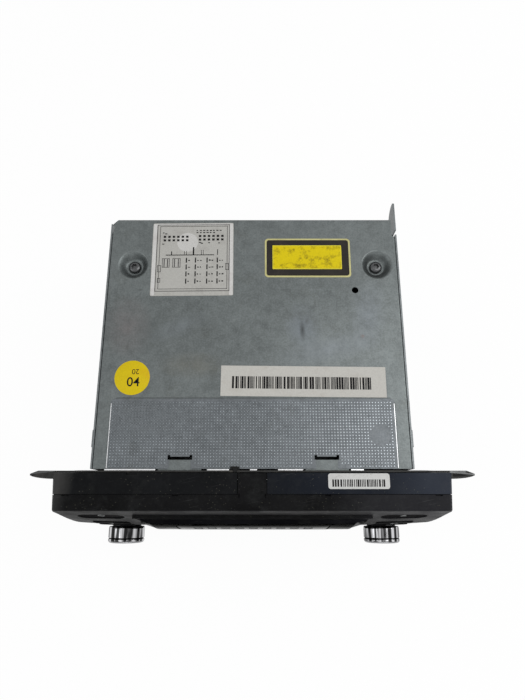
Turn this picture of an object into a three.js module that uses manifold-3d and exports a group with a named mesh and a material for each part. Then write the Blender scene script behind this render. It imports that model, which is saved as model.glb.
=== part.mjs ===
// Car radio with a slot-loading disc player, for a two-unit dashboard bay.
// Millimetres, +Z up. X runs to the right as seen from the front, and the front panel faces -Y.
// Inside the outer group the base lies at Z 0 and the front edge of the top cover at Y 0.

import * as THREE from 'three';
import { mergeVertices } from 'three/addons/utils/BufferGeometryUtils.js';
import Module from 'manifold-3d';

const wasm = await Module();
wasm.setup();

// Driving dimensions
const discDiameter = 120;
const discThickness = 1.2;
const discPathDrop = 15;
const deckMargin = 10;
const deckRearMargin = 2;
const frontBay = 6;
const rearBay = 18.6;
const sideBay = 21.1;
const bodyHeight = 101;
const panelOverhang = 19.4;
const panelRise = 3;
const panelDepth = 20.4;
const earReach = 14.3;
const rearLugReach = 12.4;
const knobLength = 10.6;

// Stock thicknesses and clearances
const sheet = 1;
const shellWall = 2.2;
const boardThickness = 1.6;
const seatGap = 0.3;
const slideGap = 0.4;
const shaftGap = 0.1;
const overrun = 1;

// Facets, and the fine grid that every corner is rounded to
const stepsPerUnit = 5000;
const roundSteps = 24;
const smallSteps = 14;
const cornerSteps = 2;

// The disc sets the deck's size, the deck with its bays sets the body, and the body the front panel
const discRadius = discDiameter / 2;
const deckHalf = discRadius + deckMargin;
const discCentreDepth = deckHalf + frontBay;
const discPathHeight = bodyHeight - discPathDrop;
const bodyWidth = 2 * (deckHalf + sideBay);
const bodyDepth = discCentreDepth + discRadius + deckRearMargin + rearBay;
const panelWidth = bodyWidth + 2 * panelOverhang;
const panelHeight = bodyHeight + panelRise;
const plateSpan = panelWidth + 2 * earReach;

// Places that several pieces share
const halfBody = bodyWidth / 2;
const wallInside = halfBody - sheet;
const halfPanel = panelWidth / 2;
const plateStandoff = 0.9;
const plateBack = -plateStandoff;
const plateFront = plateBack - sheet;
const panelBack = plateFront - seatGap;
const panelRim = panelBack - panelDepth;
const boardStandoff = 9.2;
const boardBack = panelBack - boardStandoff;
const boardFront = boardBack - boardThickness;
const rearRecess = 16.6;
const rearPanelFront = bodyDepth - rearRecess;

// Solids from geometry, and joins and cuts between them

function solidOf(geometry) {
  geometry.deleteAttribute('normal');
  geometry.deleteAttribute('uv');
  const places = geometry.attributes.position.array;
  places.forEach((value, i) => {
    places[i] = Math.round(value * stepsPerUnit) / stepsPerUnit;
  });
  const merged = mergeVertices(geometry);
  const corners = merged.index.array;
  const triangles = [];
  for (let i = 0; i < corners.length; i += 3) {
    const [a, b, c] = [corners[i], corners[i + 1], corners[i + 2]];
    if (a !== b && b !== c && c !== a) triangles.push(a, b, c);
  }
  const vertProperties = new Float32Array(merged.attributes.position.array);
  const triVerts = new Uint32Array(triangles);
  return new wasm.Manifold(new wasm.Mesh({ numProp: 3, vertProperties, triVerts }));
}

function geometryOf(solid) {
  const mesh = solid.getMesh();
  const geometry = new THREE.BufferGeometry();
  geometry.setAttribute('position', new THREE.BufferAttribute(mesh.vertProperties, 3));
  geometry.setIndex(new THREE.BufferAttribute(mesh.triVerts, 1));
  geometry.computeVertexNormals();
  return geometry;
}

function join(...solids) {
  return solids.reduce((sum, solid) => sum.add(solid));
}

function cut(base, ...tools) {
  return tools.reduce((rest, tool) => rest.subtract(tool), base);
}

function block(x0, x1, y0, y1, z0, z1) {
  const geometry = new THREE.BoxGeometry(x1 - x0, y1 - y0, z1 - z0);
  geometry.translate((x0 + x1) / 2, (y0 + y1) / 2, (z0 + z1) / 2);
  return solidOf(geometry);
}

// A cylinder or cone frustum along Z, then the same along X and along Y
function rodZ(radius0, radius1, z0, z1, x = 0, y = 0, steps = smallSteps) {
  const geometry = new THREE.CylinderGeometry(radius1, radius0, z1 - z0, steps);
  geometry.rotateX(Math.PI / 2);
  geometry.translate(x, y, (z0 + z1) / 2);
  return solidOf(geometry);
}

function rodX(radius, x0, x1, y = 0, z = 0, steps = smallSteps) {
  const geometry = new THREE.CylinderGeometry(radius, radius, x1 - x0, steps);
  geometry.rotateZ(-Math.PI / 2);
  geometry.translate((x0 + x1) / 2, y, z);
  return solidOf(geometry);
}

function rodY(radius, y0, y1, x = 0, z = 0, steps = smallSteps) {
  const geometry = new THREE.CylinderGeometry(radius, radius, y1 - y0, steps);
  geometry.translate(x, (y0 + y1) / 2, z);
  return solidOf(geometry);
}

// A profile of [radius, height] points turned about Z
function turnedZ(profile, steps = roundSteps) {
  const points = profile.map(([radius, height]) => new THREE.Vector2(radius, height));
  const geometry = new THREE.LatheGeometry(points, steps);
  geometry.rotateX(Math.PI / 2);
  return solidOf(geometry);
}

// The same turned about Y, with its height running to the front
function turnedFront(profile, steps = roundSteps) {
  const points = profile.map(([radius, height]) => new THREE.Vector2(radius, height));
  const geometry = new THREE.LatheGeometry(points, steps);
  geometry.rotateX(Math.PI);
  return solidOf(geometry);
}

function turnedX(profile, steps = roundSteps) {
  const points = profile.map(([radius, height]) => new THREE.Vector2(radius, height));
  const geometry = new THREE.LatheGeometry(points, steps);
  geometry.rotateZ(-Math.PI / 2);
  return solidOf(geometry);
}

function extruded(shape, depth) {
  return new THREE.ExtrudeGeometry(shape, { depth, bevelEnabled: false, curveSegments: cornerSteps });
}

// An outline in X and Z given thickness along Y
function slabY(shape, yFront, yBack) {
  const geometry = extruded(shape, yBack - yFront);
  geometry.rotateX(Math.PI / 2);
  geometry.translate(0, yBack, 0);
  return solidOf(geometry);
}

// An outline in Y and Z given thickness along X
function slabX(shape, x0, x1) {
  const geometry = extruded(shape, x1 - x0);
  const alongX = new THREE.Vector3(1, 0, 0);
  const alongY = new THREE.Vector3(0, 1, 0);
  const alongZ = new THREE.Vector3(0, 0, 1);
  geometry.applyMatrix4(new THREE.Matrix4().makeBasis(alongY, alongZ, alongX));
  geometry.translate(x0, 0, 0);
  return solidOf(geometry);
}

// An outline in X and Y given thickness along Z
function slabZ(shape, z0, z1) {
  const geometry = extruded(shape, z1 - z0);
  geometry.translate(0, 0, z0);
  return solidOf(geometry);
}

function outline(points) {
  return new THREE.Shape(points.map(([u, v]) => new THREE.Vector2(u, v)));
}

function roundedRect(u0, u1, v0, v1, radius) {
  const shape = new THREE.Shape();
  shape.moveTo(u0 + radius, v0);
  shape.lineTo(u1 - radius, v0);
  shape.absarc(u1 - radius, v0 + radius, radius, -Math.PI / 2, 0);
  shape.lineTo(u1, v1 - radius);
  shape.absarc(u1 - radius, v1 - radius, radius, 0, Math.PI / 2);
  shape.lineTo(u0 + radius, v1);
  shape.absarc(u0 + radius, v1 - radius, radius, Math.PI / 2, Math.PI);
  shape.lineTo(u0, v0 + radius);
  shape.absarc(u0 + radius, v0 + radius, radius, Math.PI, Math.PI * 1.5);
  return shape;
}

// Materials

function finish(colour, roughness, metalness) {
  return () => new THREE.MeshStandardMaterial({ color: colour, roughness, metalness });
}

const zincSteel = finish(0x7e8484, 0.5, 0.8);
const dullSteel = finish(0x8b8f90, 0.45, 0.85);
const brightSteel = finish(0xc4c6c7, 0.3, 0.95);
const bareAluminium = finish(0xa9adaf, 0.5, 0.85);
const blackPlastic = finish(0x191a1c, 0.55, 0);
const softBlack = finish(0x141416, 0.8, 0);
const smokedPane = finish(0x0b0c0f, 0.12, 0);
const displayGrey = finish(0x2b3033, 0.4, 0);
const circuitGreen = finish(0x1f4a33, 0.5, 0.1);
const chipBlack = finish(0x1b1b1b, 0.6, 0);
const connectorBlack = finish(0x202122, 0.6, 0);
const socketBlue = finish(0x2c4a7a, 0.55, 0);
const fuseBrown = finish(0x8a4a20, 0.4, 0);
const chromePlate = finish(0xc9cacb, 0.12, 1);
const gearWhite = finish(0xd9d6cc, 0.55, 0);
const lensClear = finish(0x9fb6c4, 0.05, 0);

const radio = new THREE.Group();
radio.name = 'car_radio';
const chassis = new THREE.Group();
const frontPanel = new THREE.Group();
const deck = new THREE.Group();
radio.add(chassis, frontPanel, deck);

function place(group, name, solid, material, x = 0, y = 0, z = 0) {
  const mesh = new THREE.Mesh(geometryOf(solid), material());
  mesh.name = name;
  mesh.position.set(x, y, z);
  group.add(mesh);
  return mesh;
}

// Chassis tub: floor, two side walls and the rear lug that stands out of the right wall

const ventWidth = 3;
const ventHeight = 20;
const ventPitch = 9;
const ventCount = 6;
const ventStart = 84;
const ventBase = 34;
const lugHeight = 15;
const lugFoot = 7.6;
const lugNotch = 3;
const lugCornerShare = 0.55;
const standoffRadius = 3;
const standoffHeight = 12.7;
const mainBoardBase = sheet + standoffHeight + seatGap;
const mainBoardTop = mainBoardBase + boardThickness;
const mainBoardSide = 6.1;
const mainBoardHalf = wallInside - mainBoardSide;
const mainBoardFront = 6;
const mainBoardEnd = 2;
const mainBoardRear = rearPanelFront - mainBoardEnd;
const standoffInset = 8;

function sideWall(x0, x1) {
  const wall = block(x0, x1, 0, bodyDepth, 0, bodyHeight);
  const vents = [];
  for (let i = 0; i < ventCount; i += 1) {
    const y = ventStart + i * ventPitch;
    vents.push(block(x0 - overrun, x1 + overrun, y, y + ventWidth, ventBase, ventBase + ventHeight));
  }
  return cut(wall, ...vents);
}

function rearLug() {
  const tip = bodyDepth + rearLugReach;
  const round = lugHeight * lugCornerShare;
  const shape = new THREE.Shape();
  shape.moveTo(bodyDepth - lugFoot, bodyHeight - lugHeight);
  shape.lineTo(tip - round, bodyHeight - lugHeight);
  shape.quadraticCurveTo(tip, bodyHeight - lugHeight, tip, bodyHeight - round / 2);
  shape.quadraticCurveTo(tip, bodyHeight, tip - round, bodyHeight);
  shape.lineTo(bodyDepth - lugFoot, bodyHeight);
  return slabX(shape, wallInside, halfBody);
}

function chassisTub() {
  const floor = block(-halfBody, halfBody, 0, bodyDepth, 0, sheet);
  const notchRear = bodyDepth - lugFoot;
  const notchFront = notchRear - lugNotch;
  const notch = block(wallInside - overrun, halfBody + overrun, notchFront, notchRear,
    bodyHeight - lugHeight / 2, bodyHeight + overrun);
  const posts = [];
  for (const x of [-mainBoardHalf + standoffInset, mainBoardHalf - standoffInset]) {
    for (const y of [mainBoardFront + standoffInset, mainBoardRear - standoffInset]) {
      posts.push(rodZ(standoffRadius, standoffRadius, sheet / 2, sheet + standoffHeight, x, y));
    }
  }
  const walls = join(floor, sideWall(-halfBody, -wallInside), sideWall(wallInside, halfBody), rearLug());
  return join(cut(walls, notch), ...posts);
}

place(chassis, 'chassis_tub', chassisTub(), dullSteel);

// Top cover: skin with folded edges, two screw dimples, a hole and two notches for the hook tabs

const coverHalf = wallInside - seatGap;
const coverUnder = bodyHeight - sheet;
const coverLip = 10;
const rearLip = 5;
const cornerCut = 3;
const cornerNotch = 2;
const cornerNotchLength = 12;
const dimpleRadius = 9.5;
const dimpleFloorRadius = 4.6;
const dimpleDepth = 5;
const dimpleWallShare = 1.2;
const dimpleRear = 31.6;
const dimpleY = bodyDepth - dimpleRear;
const dimpleInsetLeft = 14.6;
const dimpleInsetRight = 12.4;
const dimpleXs = { left: dimpleInsetLeft - coverHalf, right: coverHalf - dimpleInsetRight };
const screwShankRadius = 1.5;
const screwHoleRadius = screwShankRadius + slideGap;
const coverHoleRadius = 2.05;
const coverHoleInset = 26.9;
const coverHoleX = coverHalf - coverHoleInset;
const coverHoleRear = 48.8;
const coverHoleY = bodyDepth - coverHoleRear;
const tabCentre = 41.6;
const tabWidth = 13.6;
const tabReach = 4.2;
const tabShoulder = 25;
const notchDepth = 5;
const slotEar = 2.6;
const slotDepth = 2;
const dimpleFloor = bodyHeight - dimpleDepth;
const dimpleUnder = dimpleFloor - sheet;

function topCover() {
  const skin = slabZ(outline([
    [-coverHalf, 0],
    [coverHalf, 0],
    [coverHalf, bodyDepth - cornerNotchLength],
    [coverHalf - cornerNotch, bodyDepth - cornerNotchLength + cornerNotch],
    [coverHalf - cornerNotch, bodyDepth],
    [-coverHalf + cornerCut, bodyDepth],
    [-coverHalf, bodyDepth - cornerCut],
  ]), coverUnder, bodyHeight);
  const lipBase = bodyHeight - coverLip;
  const lipEnd = bodyDepth - cornerNotchLength;
  const lips = [
    block(-coverHalf, -coverHalf + sheet, 0, lipEnd, lipBase, coverUnder + sheet / 2),
    block(coverHalf - sheet, coverHalf, 0, lipEnd, lipBase, coverUnder + sheet / 2),
    block(-coverHalf + cornerNotchLength, coverHalf - cornerNotchLength, bodyDepth - sheet, bodyDepth,
      bodyHeight - rearLip, coverUnder + sheet / 2),
  ];
  const wallSlope = sheet * dimpleWallShare;
  const cupTop = bodyHeight - sheet / 2;
  const above = bodyHeight + overrun;
  const flare = (dimpleRadius - dimpleFloorRadius) / dimpleDepth;
  const cups = [];
  const hollows = [];
  for (const x of Object.values(dimpleXs)) {
    cups.push(rodZ(dimpleFloorRadius + wallSlope, dimpleRadius + wallSlope, dimpleUnder, cupTop,
      x, dimpleY, roundSteps));
    hollows.push(rodZ(dimpleFloorRadius, dimpleRadius + overrun * flare, dimpleFloor, above,
      x, dimpleY, roundSteps));
    hollows.push(rodZ(screwHoleRadius, screwHoleRadius, dimpleUnder - overrun, dimpleFloor + overrun,
      x, dimpleY));
  }
  hollows.push(rodZ(coverHoleRadius, coverHoleRadius, coverUnder - overrun, bodyHeight + overrun,
    coverHoleX, coverHoleY));
  for (const x of [-tabCentre, tabCentre]) {
    const half = tabWidth / 2 + seatGap;
    hollows.push(block(x - half, x + half, -overrun, notchDepth, coverUnder - overrun, bodyHeight + overrun));
    hollows.push(block(x - half - slotEar, x + half + slotEar, notchDepth, notchDepth + slotDepth,
      coverUnder - overrun, bodyHeight + overrun));
  }
  return cut(join(skin, ...lips, ...cups), ...hollows);
}

place(chassis, 'top_cover', topCover(), zincSteel);

// Cover screws: button heads with a six-sided socket, seated in the dimples

const screwHeadRadius = 3.9;
const screwHeadHeight = 2.2;
const screwRim = 0.7;
const screwLength = 7;
const socketRadius = 1.7;
const socketDepth = 1.5;
const socketSides = 6;

function coverScrew() {
  const body = turnedZ([
    [0, -screwLength],
    [screwShankRadius, -screwLength],
    [screwShankRadius, seatGap],
    [screwHeadRadius, seatGap],
    [screwHeadRadius, seatGap + screwRim],
    [screwHeadRadius * Math.cos(Math.PI / 6), screwHeadHeight],
    [screwHeadRadius / 2, screwHeadHeight + seatGap],
    [0, screwHeadHeight + seatGap],
  ]);
  const socketFloor = screwHeadHeight + seatGap - socketDepth;
  const socket = rodZ(socketRadius, socketRadius, socketFloor, screwHeadHeight + overrun, 0, 0, socketSides);
  return cut(body, socket);
}

for (const [side, x] of Object.entries(dimpleXs)) {
  place(chassis, `cover_screw_${side}`, coverScrew(), brightSteel, x, dimpleY, dimpleFloor);
}

// Rear panel, set in under the cover's rear edge, with windows for the sockets

const rearPanelBack = rearPanelFront + sheet;
const rearPanelHalf = coverHalf - sheet - seatGap;
const socketsBack = bodyDepth - sheet;
const antennaInset = 17.5;
const antennaX0 = rearPanelHalf - antennaInset;
const antennaSize = 11;
const antennaX1 = antennaX0 + antennaSize;
const socketSpacing = 9;
const connectorWidth = 56;
const connectorX1 = antennaX0 - socketSpacing;
const connectorX0 = connectorX1 - connectorWidth;
const connectorBase = mainBoardTop + seatGap;
const connectorHeight = 33;
const connectorTop = connectorBase + connectorHeight;
const connectorLength = 26.6;
const connectorFront = socketsBack - connectorLength;
const fuseWidth = 19;
const fuseHeight = 5;
const fuseDepth = 12;
const fuseWall = 1.5;
const fuseTop = connectorTop + fuseHeight + seatGap + fuseWall;

function rearPanel() {
  const plate = block(-rearPanelHalf, rearPanelHalf, rearPanelFront, rearPanelBack,
    sheet + seatGap, coverUnder - seatGap);
  const connectorWindow = block(connectorX0 - seatGap, connectorX1 + seatGap, rearPanelFront - overrun,
    rearPanelBack + overrun, mainBoardBase, fuseTop + seatGap);
  const antennaWindow = block(antennaX0 - seatGap, antennaX1 + seatGap, rearPanelFront - overrun,
    rearPanelBack + overrun, mainBoardBase, connectorBase + antennaSize + seatGap);
  return cut(plate, connectorWindow, antennaWindow);
}

place(chassis, 'rear_panel', rearPanel(), zincSteel);

// Heat sink on the rear panel: a base with upright fins, level with the cover's rear edge

const sinkInset = 4.5;
const sinkX0 = sinkInset - rearPanelHalf;
const sinkWidth = 56;
const sinkX1 = sinkX0 + sinkWidth;
const sinkZ0 = 18;
const sinkTopGap = 14;
const sinkZ1 = bodyHeight - rearLip - sinkTopGap;
const sinkBase = 3;
const finThickness = 1.5;
const finCount = 12;

function heatSink() {
  const front = rearPanelBack + seatGap;
  const base = block(sinkX0, sinkX1, front, front + sinkBase, sinkZ0, sinkZ1);
  const pitch = (sinkX1 - sinkX0 - finThickness) / (finCount - 1);
  const fins = [];
  for (let i = 0; i < finCount; i += 1) {
    const x = sinkX0 + i * pitch;
    fins.push(block(x, x + finThickness, front + sinkBase / 2, socketsBack, sinkZ0, sinkZ1));
  }
  return join(base, ...fins);
}

place(chassis, 'heat_sink', heatSink(), bareAluminium);

// Main board with its small parts, and the parts that stand on it

const boardChipShares = [
  [0.12, 0.2, 0.12, 0.1],
  [0.32, 0.14, 0.08, 0.08],
  [0.48, 0.3, 0.16, 0.14],
  [0.72, 0.18, 0.1, 0.1],
  [0.84, 0.36, 0.08, 0.14],
  [0.2, 0.48, 0.1, 0.12],
  [0.66, 0.52, 0.1, 0.1],
];
const boardChipHeight = 2.4;
const tallPartHeight = 11;
const tallPartRadius = 5;
const tallPartShares = [[0.08, 0.82], [0.08, 0.68], [0.16, 0.82]];

function mainBoard() {
  const width = 2 * mainBoardHalf;
  const depth = mainBoardRear - mainBoardFront;
  const bedded = mainBoardTop - boardThickness / 2;
  const board = block(-mainBoardHalf, mainBoardHalf, mainBoardFront, mainBoardRear,
    mainBoardBase, mainBoardTop);
  const parts = [board];
  for (const [acrossShare, alongShare, widthShare, depthShare] of boardChipShares) {
    const x = -mainBoardHalf + width * acrossShare;
    const y = mainBoardFront + depth * alongShare;
    parts.push(block(x, x + width * widthShare, y, y + depth * depthShare,
      bedded, mainBoardTop + boardChipHeight));
  }
  for (const [acrossShare, alongShare] of tallPartShares) {
    parts.push(rodZ(tallPartRadius, tallPartRadius, bedded, mainBoardTop + tallPartHeight,
      -mainBoardHalf + width * acrossShare, mainBoardFront + depth * alongShare));
  }
  return join(...parts);
}

place(chassis, 'main_board', mainBoard(), circuitGreen);

const amplifierWidth = 32;
const amplifierDepth = 4.5;
const amplifierHeight = 20;
const amplifierLegs = 12;
const amplifierLegWidth = 1;
const amplifierLegHeight = 3;
const amplifierLegShare = 0.75;

function amplifierChip() {
  const body = block(-amplifierWidth / 2, amplifierWidth / 2, -amplifierDepth, 0,
    amplifierLegHeight, amplifierLegHeight + amplifierHeight);
  const pitch = (amplifierWidth - 2 * amplifierLegWidth) / (amplifierLegs - 1);
  const legs = [];
  for (let i = 0; i < amplifierLegs; i += 1) {
    const x = -amplifierWidth / 2 + amplifierLegWidth / 2 + i * pitch;
    legs.push(block(x, x + amplifierLegWidth, -amplifierDepth * amplifierLegShare, -amplifierDepth / 2,
      seatGap, amplifierLegHeight + sheet));
  }
  return join(body, ...legs);
}

place(chassis, 'amplifier_chip', amplifierChip(), chipBlack,
  (sinkX0 + sinkX1) / 2, rearPanelFront - seatGap, mainBoardTop);

const tunerWidth = 46;
const tunerLength = 30;
const tunerHeight = 13;
const tunerX = -18;
const tunerGap = 2;
const tunerY = connectorFront - tunerGap - tunerLength;
const tunerRib = 1.2;

function tunerCan() {
  const can = block(-tunerWidth / 2, tunerWidth / 2, 0, tunerLength, seatGap, tunerHeight);
  const lid = block(-tunerWidth / 2 + tunerRib, tunerWidth / 2 - tunerRib, tunerRib, tunerLength - tunerRib,
    tunerHeight - tunerRib, tunerHeight + tunerRib / 2);
  return join(can, lid);
}

place(chassis, 'tuner_can', tunerCan(), brightSteel, tunerX, tunerY, mainBoardTop);

// Power connector: an open box with two rows of blades, and a seat for the fuse on top

const connectorWall = 2;
const connectorCavity = 15;
const bladeColumns = 8;
const bladeRows = 2;
const bladeWidth = 1.2;
const bladeHeight = 3;
const bladeLength = 8;

function powerConnector() {
  const body = block(connectorX0, connectorX1, connectorFront, socketsBack, connectorBase, connectorTop);
  const cavityFloor = socketsBack - connectorCavity;
  const cavity = block(connectorX0 + connectorWall, connectorX1 - connectorWall,
    cavityFloor, socketsBack + overrun, connectorBase + connectorWall, connectorTop - connectorWall);
  const blades = [];
  const inside = connectorX1 - connectorX0 - 2 * connectorWall;
  const columnPitch = inside / (bladeColumns + 1);
  const rowPitch = (connectorTop - connectorBase - 2 * connectorWall) / (bladeRows + 1);
  for (let row = 1; row <= bladeRows; row += 1) {
    for (let column = 1; column <= bladeColumns; column += 1) {
      const x = connectorX0 + connectorWall + column * columnPitch;
      const z = connectorBase + connectorWall + row * rowPitch;
      blades.push(block(x - bladeWidth / 2, x + bladeWidth / 2, cavityFloor - connectorWall / 2,
        cavityFloor + bladeLength, z - bladeHeight / 2, z + bladeHeight / 2));
    }
  }
  const fuseX = (connectorX0 + connectorX1) / 2;
  const wallX = fuseWidth / 2 + seatGap;
  const cheeks = [];
  for (const side of [-1, 1]) {
    const x0 = Math.min(side * wallX, side * (wallX + fuseWall));
    cheeks.push(block(fuseX + x0, fuseX + x0 + fuseWall, socketsBack - fuseDepth, socketsBack,
      connectorTop - connectorWall / 2, fuseTop));
  }
  return join(cut(body, cavity), ...blades, ...cheeks);
}

place(chassis, 'power_connector', powerConnector(), connectorBlack);

const fuseWindow = 1.2;

function fuse() {
  const body = block(-fuseWidth / 2, fuseWidth / 2, -fuseDepth, 0, seatGap, seatGap + fuseHeight);
  const waist = block(-fuseWidth / 4, fuseWidth / 4, -fuseDepth / 2, overrun,
    fuseHeight + seatGap - fuseWindow, fuseHeight + overrun);
  return cut(body, waist);
}

place(chassis, 'fuse', fuse(), fuseBrown, (connectorX0 + connectorX1) / 2, socketsBack, connectorTop);

const antennaWall = 2.2;
const antennaCavity = 11;
const antennaPin = 0.6;
const antennaPinLength = 4;

function antennaSocket() {
  const body = block(0, antennaSize, connectorFront - socketsBack, 0, 0, antennaSize);
  const cavity = block(antennaWall, antennaSize - antennaWall, -antennaCavity, overrun,
    antennaWall, antennaSize - antennaWall);
  const pin = rodY(antennaPin, -antennaCavity - overrun, -antennaCavity + antennaPinLength,
    antennaSize / 2, antennaSize / 2);
  return join(cut(body, cavity), pin);
}

place(chassis, 'antenna_socket', antennaSocket(), socketBlue, antennaX0, socketsBack, connectorBase);

// Mounting plate: a sheet behind the front panel, with a formed ear at each side and two hook tabs

const plateInset = 6.5;
const plateHalf = halfPanel - plateInset;
const plateBase = 2;
const plateTopDrop = 1.3;
const plateTop = panelHeight - plateTopDrop;
const plateCorner = 10;
const earRoot = 7;
const earBaseInset = 4;
const earBase = plateBase + earBaseInset;
const earTopInset = 2.7;
const earTop = plateTop - earTopInset;
const earRim = 4.5;
const earLean = 1.7;
const earLipDepth = 3.5;
const earLipGap = 0.4;
const earWindowWidth = 9;
const earWindowHeight = 34;
const earWindowInset = 9.5;
const earWindowX = plateSpan / 2 - earWindowInset;
const earHoleRadius = 2.2;
const earHoleRise = 24;
const earHoleInset = 8.2;
const earHoleX = plateSpan / 2 - earHoleInset;
const earPadWidth = 12;
const earPadHeight = 16;
const earPadInset = 7.5;
const earPadX = halfPanel - earPadInset;
const earPadRise = 0.6;
const earPadCorner = 3;
const discWindowMargin = 2;
const discWindowHalf = deckHalf + discWindowMargin;
const discWindowRise = 10;
const harnessHalf = 63;
const harnessBase = 15;
const harnessDrop = 11;
const harnessTop = discPathHeight - discWindowRise - harnessDrop;
const windowCorner = 4;
const hookDrop = 4.5;

// An ear from above: flat sheet whose outer rim leans forward
function earSheet(side) {
  const flatEnd = plateSpan / 2 - earRim;
  const section = outline([
    [side * (plateHalf - earRoot), plateBack],
    [side * flatEnd, plateBack],
    [side * plateSpan / 2, plateBack - earLean],
    [side * plateSpan / 2, plateFront - earLean],
    [side * flatEnd, plateFront],
    [side * (plateHalf - earRoot), plateFront],
  ]);
  return slabZ(section, earBase, earTop);
}

// The folded lip along the top or the base of an ear, narrower towards the ear's tip
function earLip(side, base) {
  const tip = plateSpan / 2;
  const foot = halfPanel + earLipGap;
  const lip = new THREE.Shape();
  lip.moveTo(side * foot, plateBack);
  lip.lineTo(side * (tip - earRim), plateBack);
  lip.lineTo(side * tip, plateBack - earLean);
  lip.lineTo(side * tip, plateFront - earLean);
  lip.quadraticCurveTo(side * (tip - earRim), plateFront - earLipDepth,
    side * foot, plateFront - earLipDepth);
  return slabZ(lip, base, base + sheet);
}

function mountingPlate() {
  const middle = panelHeight / 2;
  const sheetShape = roundedRect(-plateHalf, plateHalf, plateBase, plateTop, plateCorner);
  const parts = [slabY(sheetShape, plateFront, plateBack)];
  const openings = [
    slabY(roundedRect(-discWindowHalf, discWindowHalf, discPathHeight - discWindowRise,
      discPathHeight + discWindowRise, windowCorner), plateFront - overrun, plateBack + overrun),
    slabY(roundedRect(-harnessHalf, harnessHalf, harnessBase, harnessTop, windowCorner),
      plateFront - overrun, plateBack + overrun),
  ];
  for (const side of [-1, 1]) {
    parts.push(earSheet(side), earLip(side, earBase), earLip(side, earTop - sheet));
    const x = side * earWindowX;
    const window = roundedRect(x - earWindowWidth / 2, x + earWindowWidth / 2,
      middle - earWindowHeight / 2, middle + earWindowHeight / 2, windowCorner);
    openings.push(slabY(window, plateFront - overrun, plateBack + overrun));
    const padX = side * earPadX;
    for (const rise of [-earHoleRise, earHoleRise]) {
      openings.push(rodY(earHoleRadius, plateFront - overrun, plateBack + overrun,
        side * earHoleX, middle + rise));
      const pad = roundedRect(padX - earPadWidth / 2, padX + earPadWidth / 2,
        middle + rise - earPadHeight / 2, middle + rise + earPadHeight / 2, earPadCorner);
      parts.push(slabY(pad, plateBack - sheet / 2, plateBack + earPadRise));
    }
    const tabX = side * tabCentre;
    parts.push(block(tabX - tabShoulder / 2, tabX + tabShoulder / 2, plateBack - sheet / 2, -seatGap,
      coverUnder, bodyHeight));
    parts.push(block(tabX - tabWidth / 2, tabX + tabWidth / 2, plateBack - sheet / 2, tabReach,
      coverUnder, bodyHeight));
    parts.push(block(tabX - tabWidth / 2, tabX + tabWidth / 2, tabReach - sheet, tabReach,
      bodyHeight - hookDrop, bodyHeight));
  }
  return cut(join(...parts), ...openings);
}

place(chassis, 'mounting_plate', mountingPlate(), dullSteel);

// Front face: it swells forward from a straight rim, by shares of the swell across and down

const faceSwellDepth = 9.9;
const sidePower = 4;
const sideFallShare = 0.2;
const leanPower = 1.2;
const fullLeanShare = 0.6;
const underShare = 0.15;
const faceColumns = 14;
const faceRows = 6;
const panelCorner = 7;
const partingDepth = 11.5;
const partingY = panelBack - partingDepth;
const blockRise = 1.9;
const slotMargin = 7;
const slotHalf = discRadius + slotMargin;
const blockFaceInset = 6.5;
const blockFaceHalf = slotHalf - blockFaceInset;
const blockFoot = 1;
const blockBaseHalf = slotHalf + blockFoot;
const blockBottom = 12;
const blockTopDrop = 7;
const blockTop = discPathHeight - blockTopDrop;

function faceSwell(x, z) {
  const across = Math.min(Math.abs(x) / halfPanel, 1);
  const down = Math.min(Math.max((panelHeight - z) / panelHeight, 0), 1);
  const lean = Math.sin(Math.min(down / fullLeanShare, 1) * Math.PI / 2) ** leanPower;
  const under = Math.max(down - fullLeanShare, 0) / (1 - fullLeanShare);
  return faceSwellDepth * (1 - sideFallShare * across ** sidePower) * lean * (1 - underShare * under ** 2);
}

// A box whose front follows the swell, moved forward by a rise and seen from a local centre
function faceBody(inset, rise, backY, x = 0, z = 0) {
  const width = panelWidth - 2 * inset;
  const height = panelHeight - 2 * inset;
  const rim = panelRim - rise;
  const geometry = new THREE.BoxGeometry(width, backY - rim, height, faceColumns, 1, faceRows);
  geometry.translate(0, (backY + rim) / 2, panelHeight / 2);
  const position = geometry.attributes.position;
  const middle = (backY + rim) / 2;
  for (let i = 0; i < position.count; i += 1) {
    if (position.getY(i) < middle) {
      position.setY(i, position.getY(i) - faceSwell(position.getX(i), position.getZ(i)));
    }
  }
  geometry.translate(-x, 0, -z);
  return solidOf(geometry);
}

const faceFar = panelRim - faceSwellDepth - blockRise - 3 * overrun;

// Controls on the face: place, size and how far each stands out of it

const slotHeight = 5.2;
const ovalInset = 23.5;
const ovalX = halfPanel - ovalInset;
const ovalWidth = 26;
const ovalHeight = 11;
const ovalRise = -0.6;
const sideKeyInset = 24.5;
const sideKeyX = halfPanel - sideKeyInset;
const sideKeyWidth = 22;
const sideKeyHeight = 8;
const sideKeyRise = 0.6;
const sideKeyDrop = 20;
const sideKeyPitch = 14;
const sideKeyUpper = discPathHeight - sideKeyDrop;
const sideKeyHeights = { upper: sideKeyUpper, lower: sideKeyUpper - sideKeyPitch };
const displayHalf = 46;
const displayDrop = 14;
const displayTop = discPathHeight - displayDrop;
const displayHeight = 26;
const displayBase = displayTop - displayHeight;
const displayRise = -0.3;
const presetCount = 6;
const presetPitch = 17.5;
const presetWidth = 15;
const presetHeight = 9;
const presetDrop = 13;
const presetZ = displayBase - presetDrop;
const presetRise = 0.7;
const keyCorner = 1.6;
const knobInset = 24.9;
const knobX = halfPanel - knobInset;
const knobDrop = 4;
const knobZ = presetZ - knobDrop;
const spindleBoreRadius = 4.2;

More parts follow.
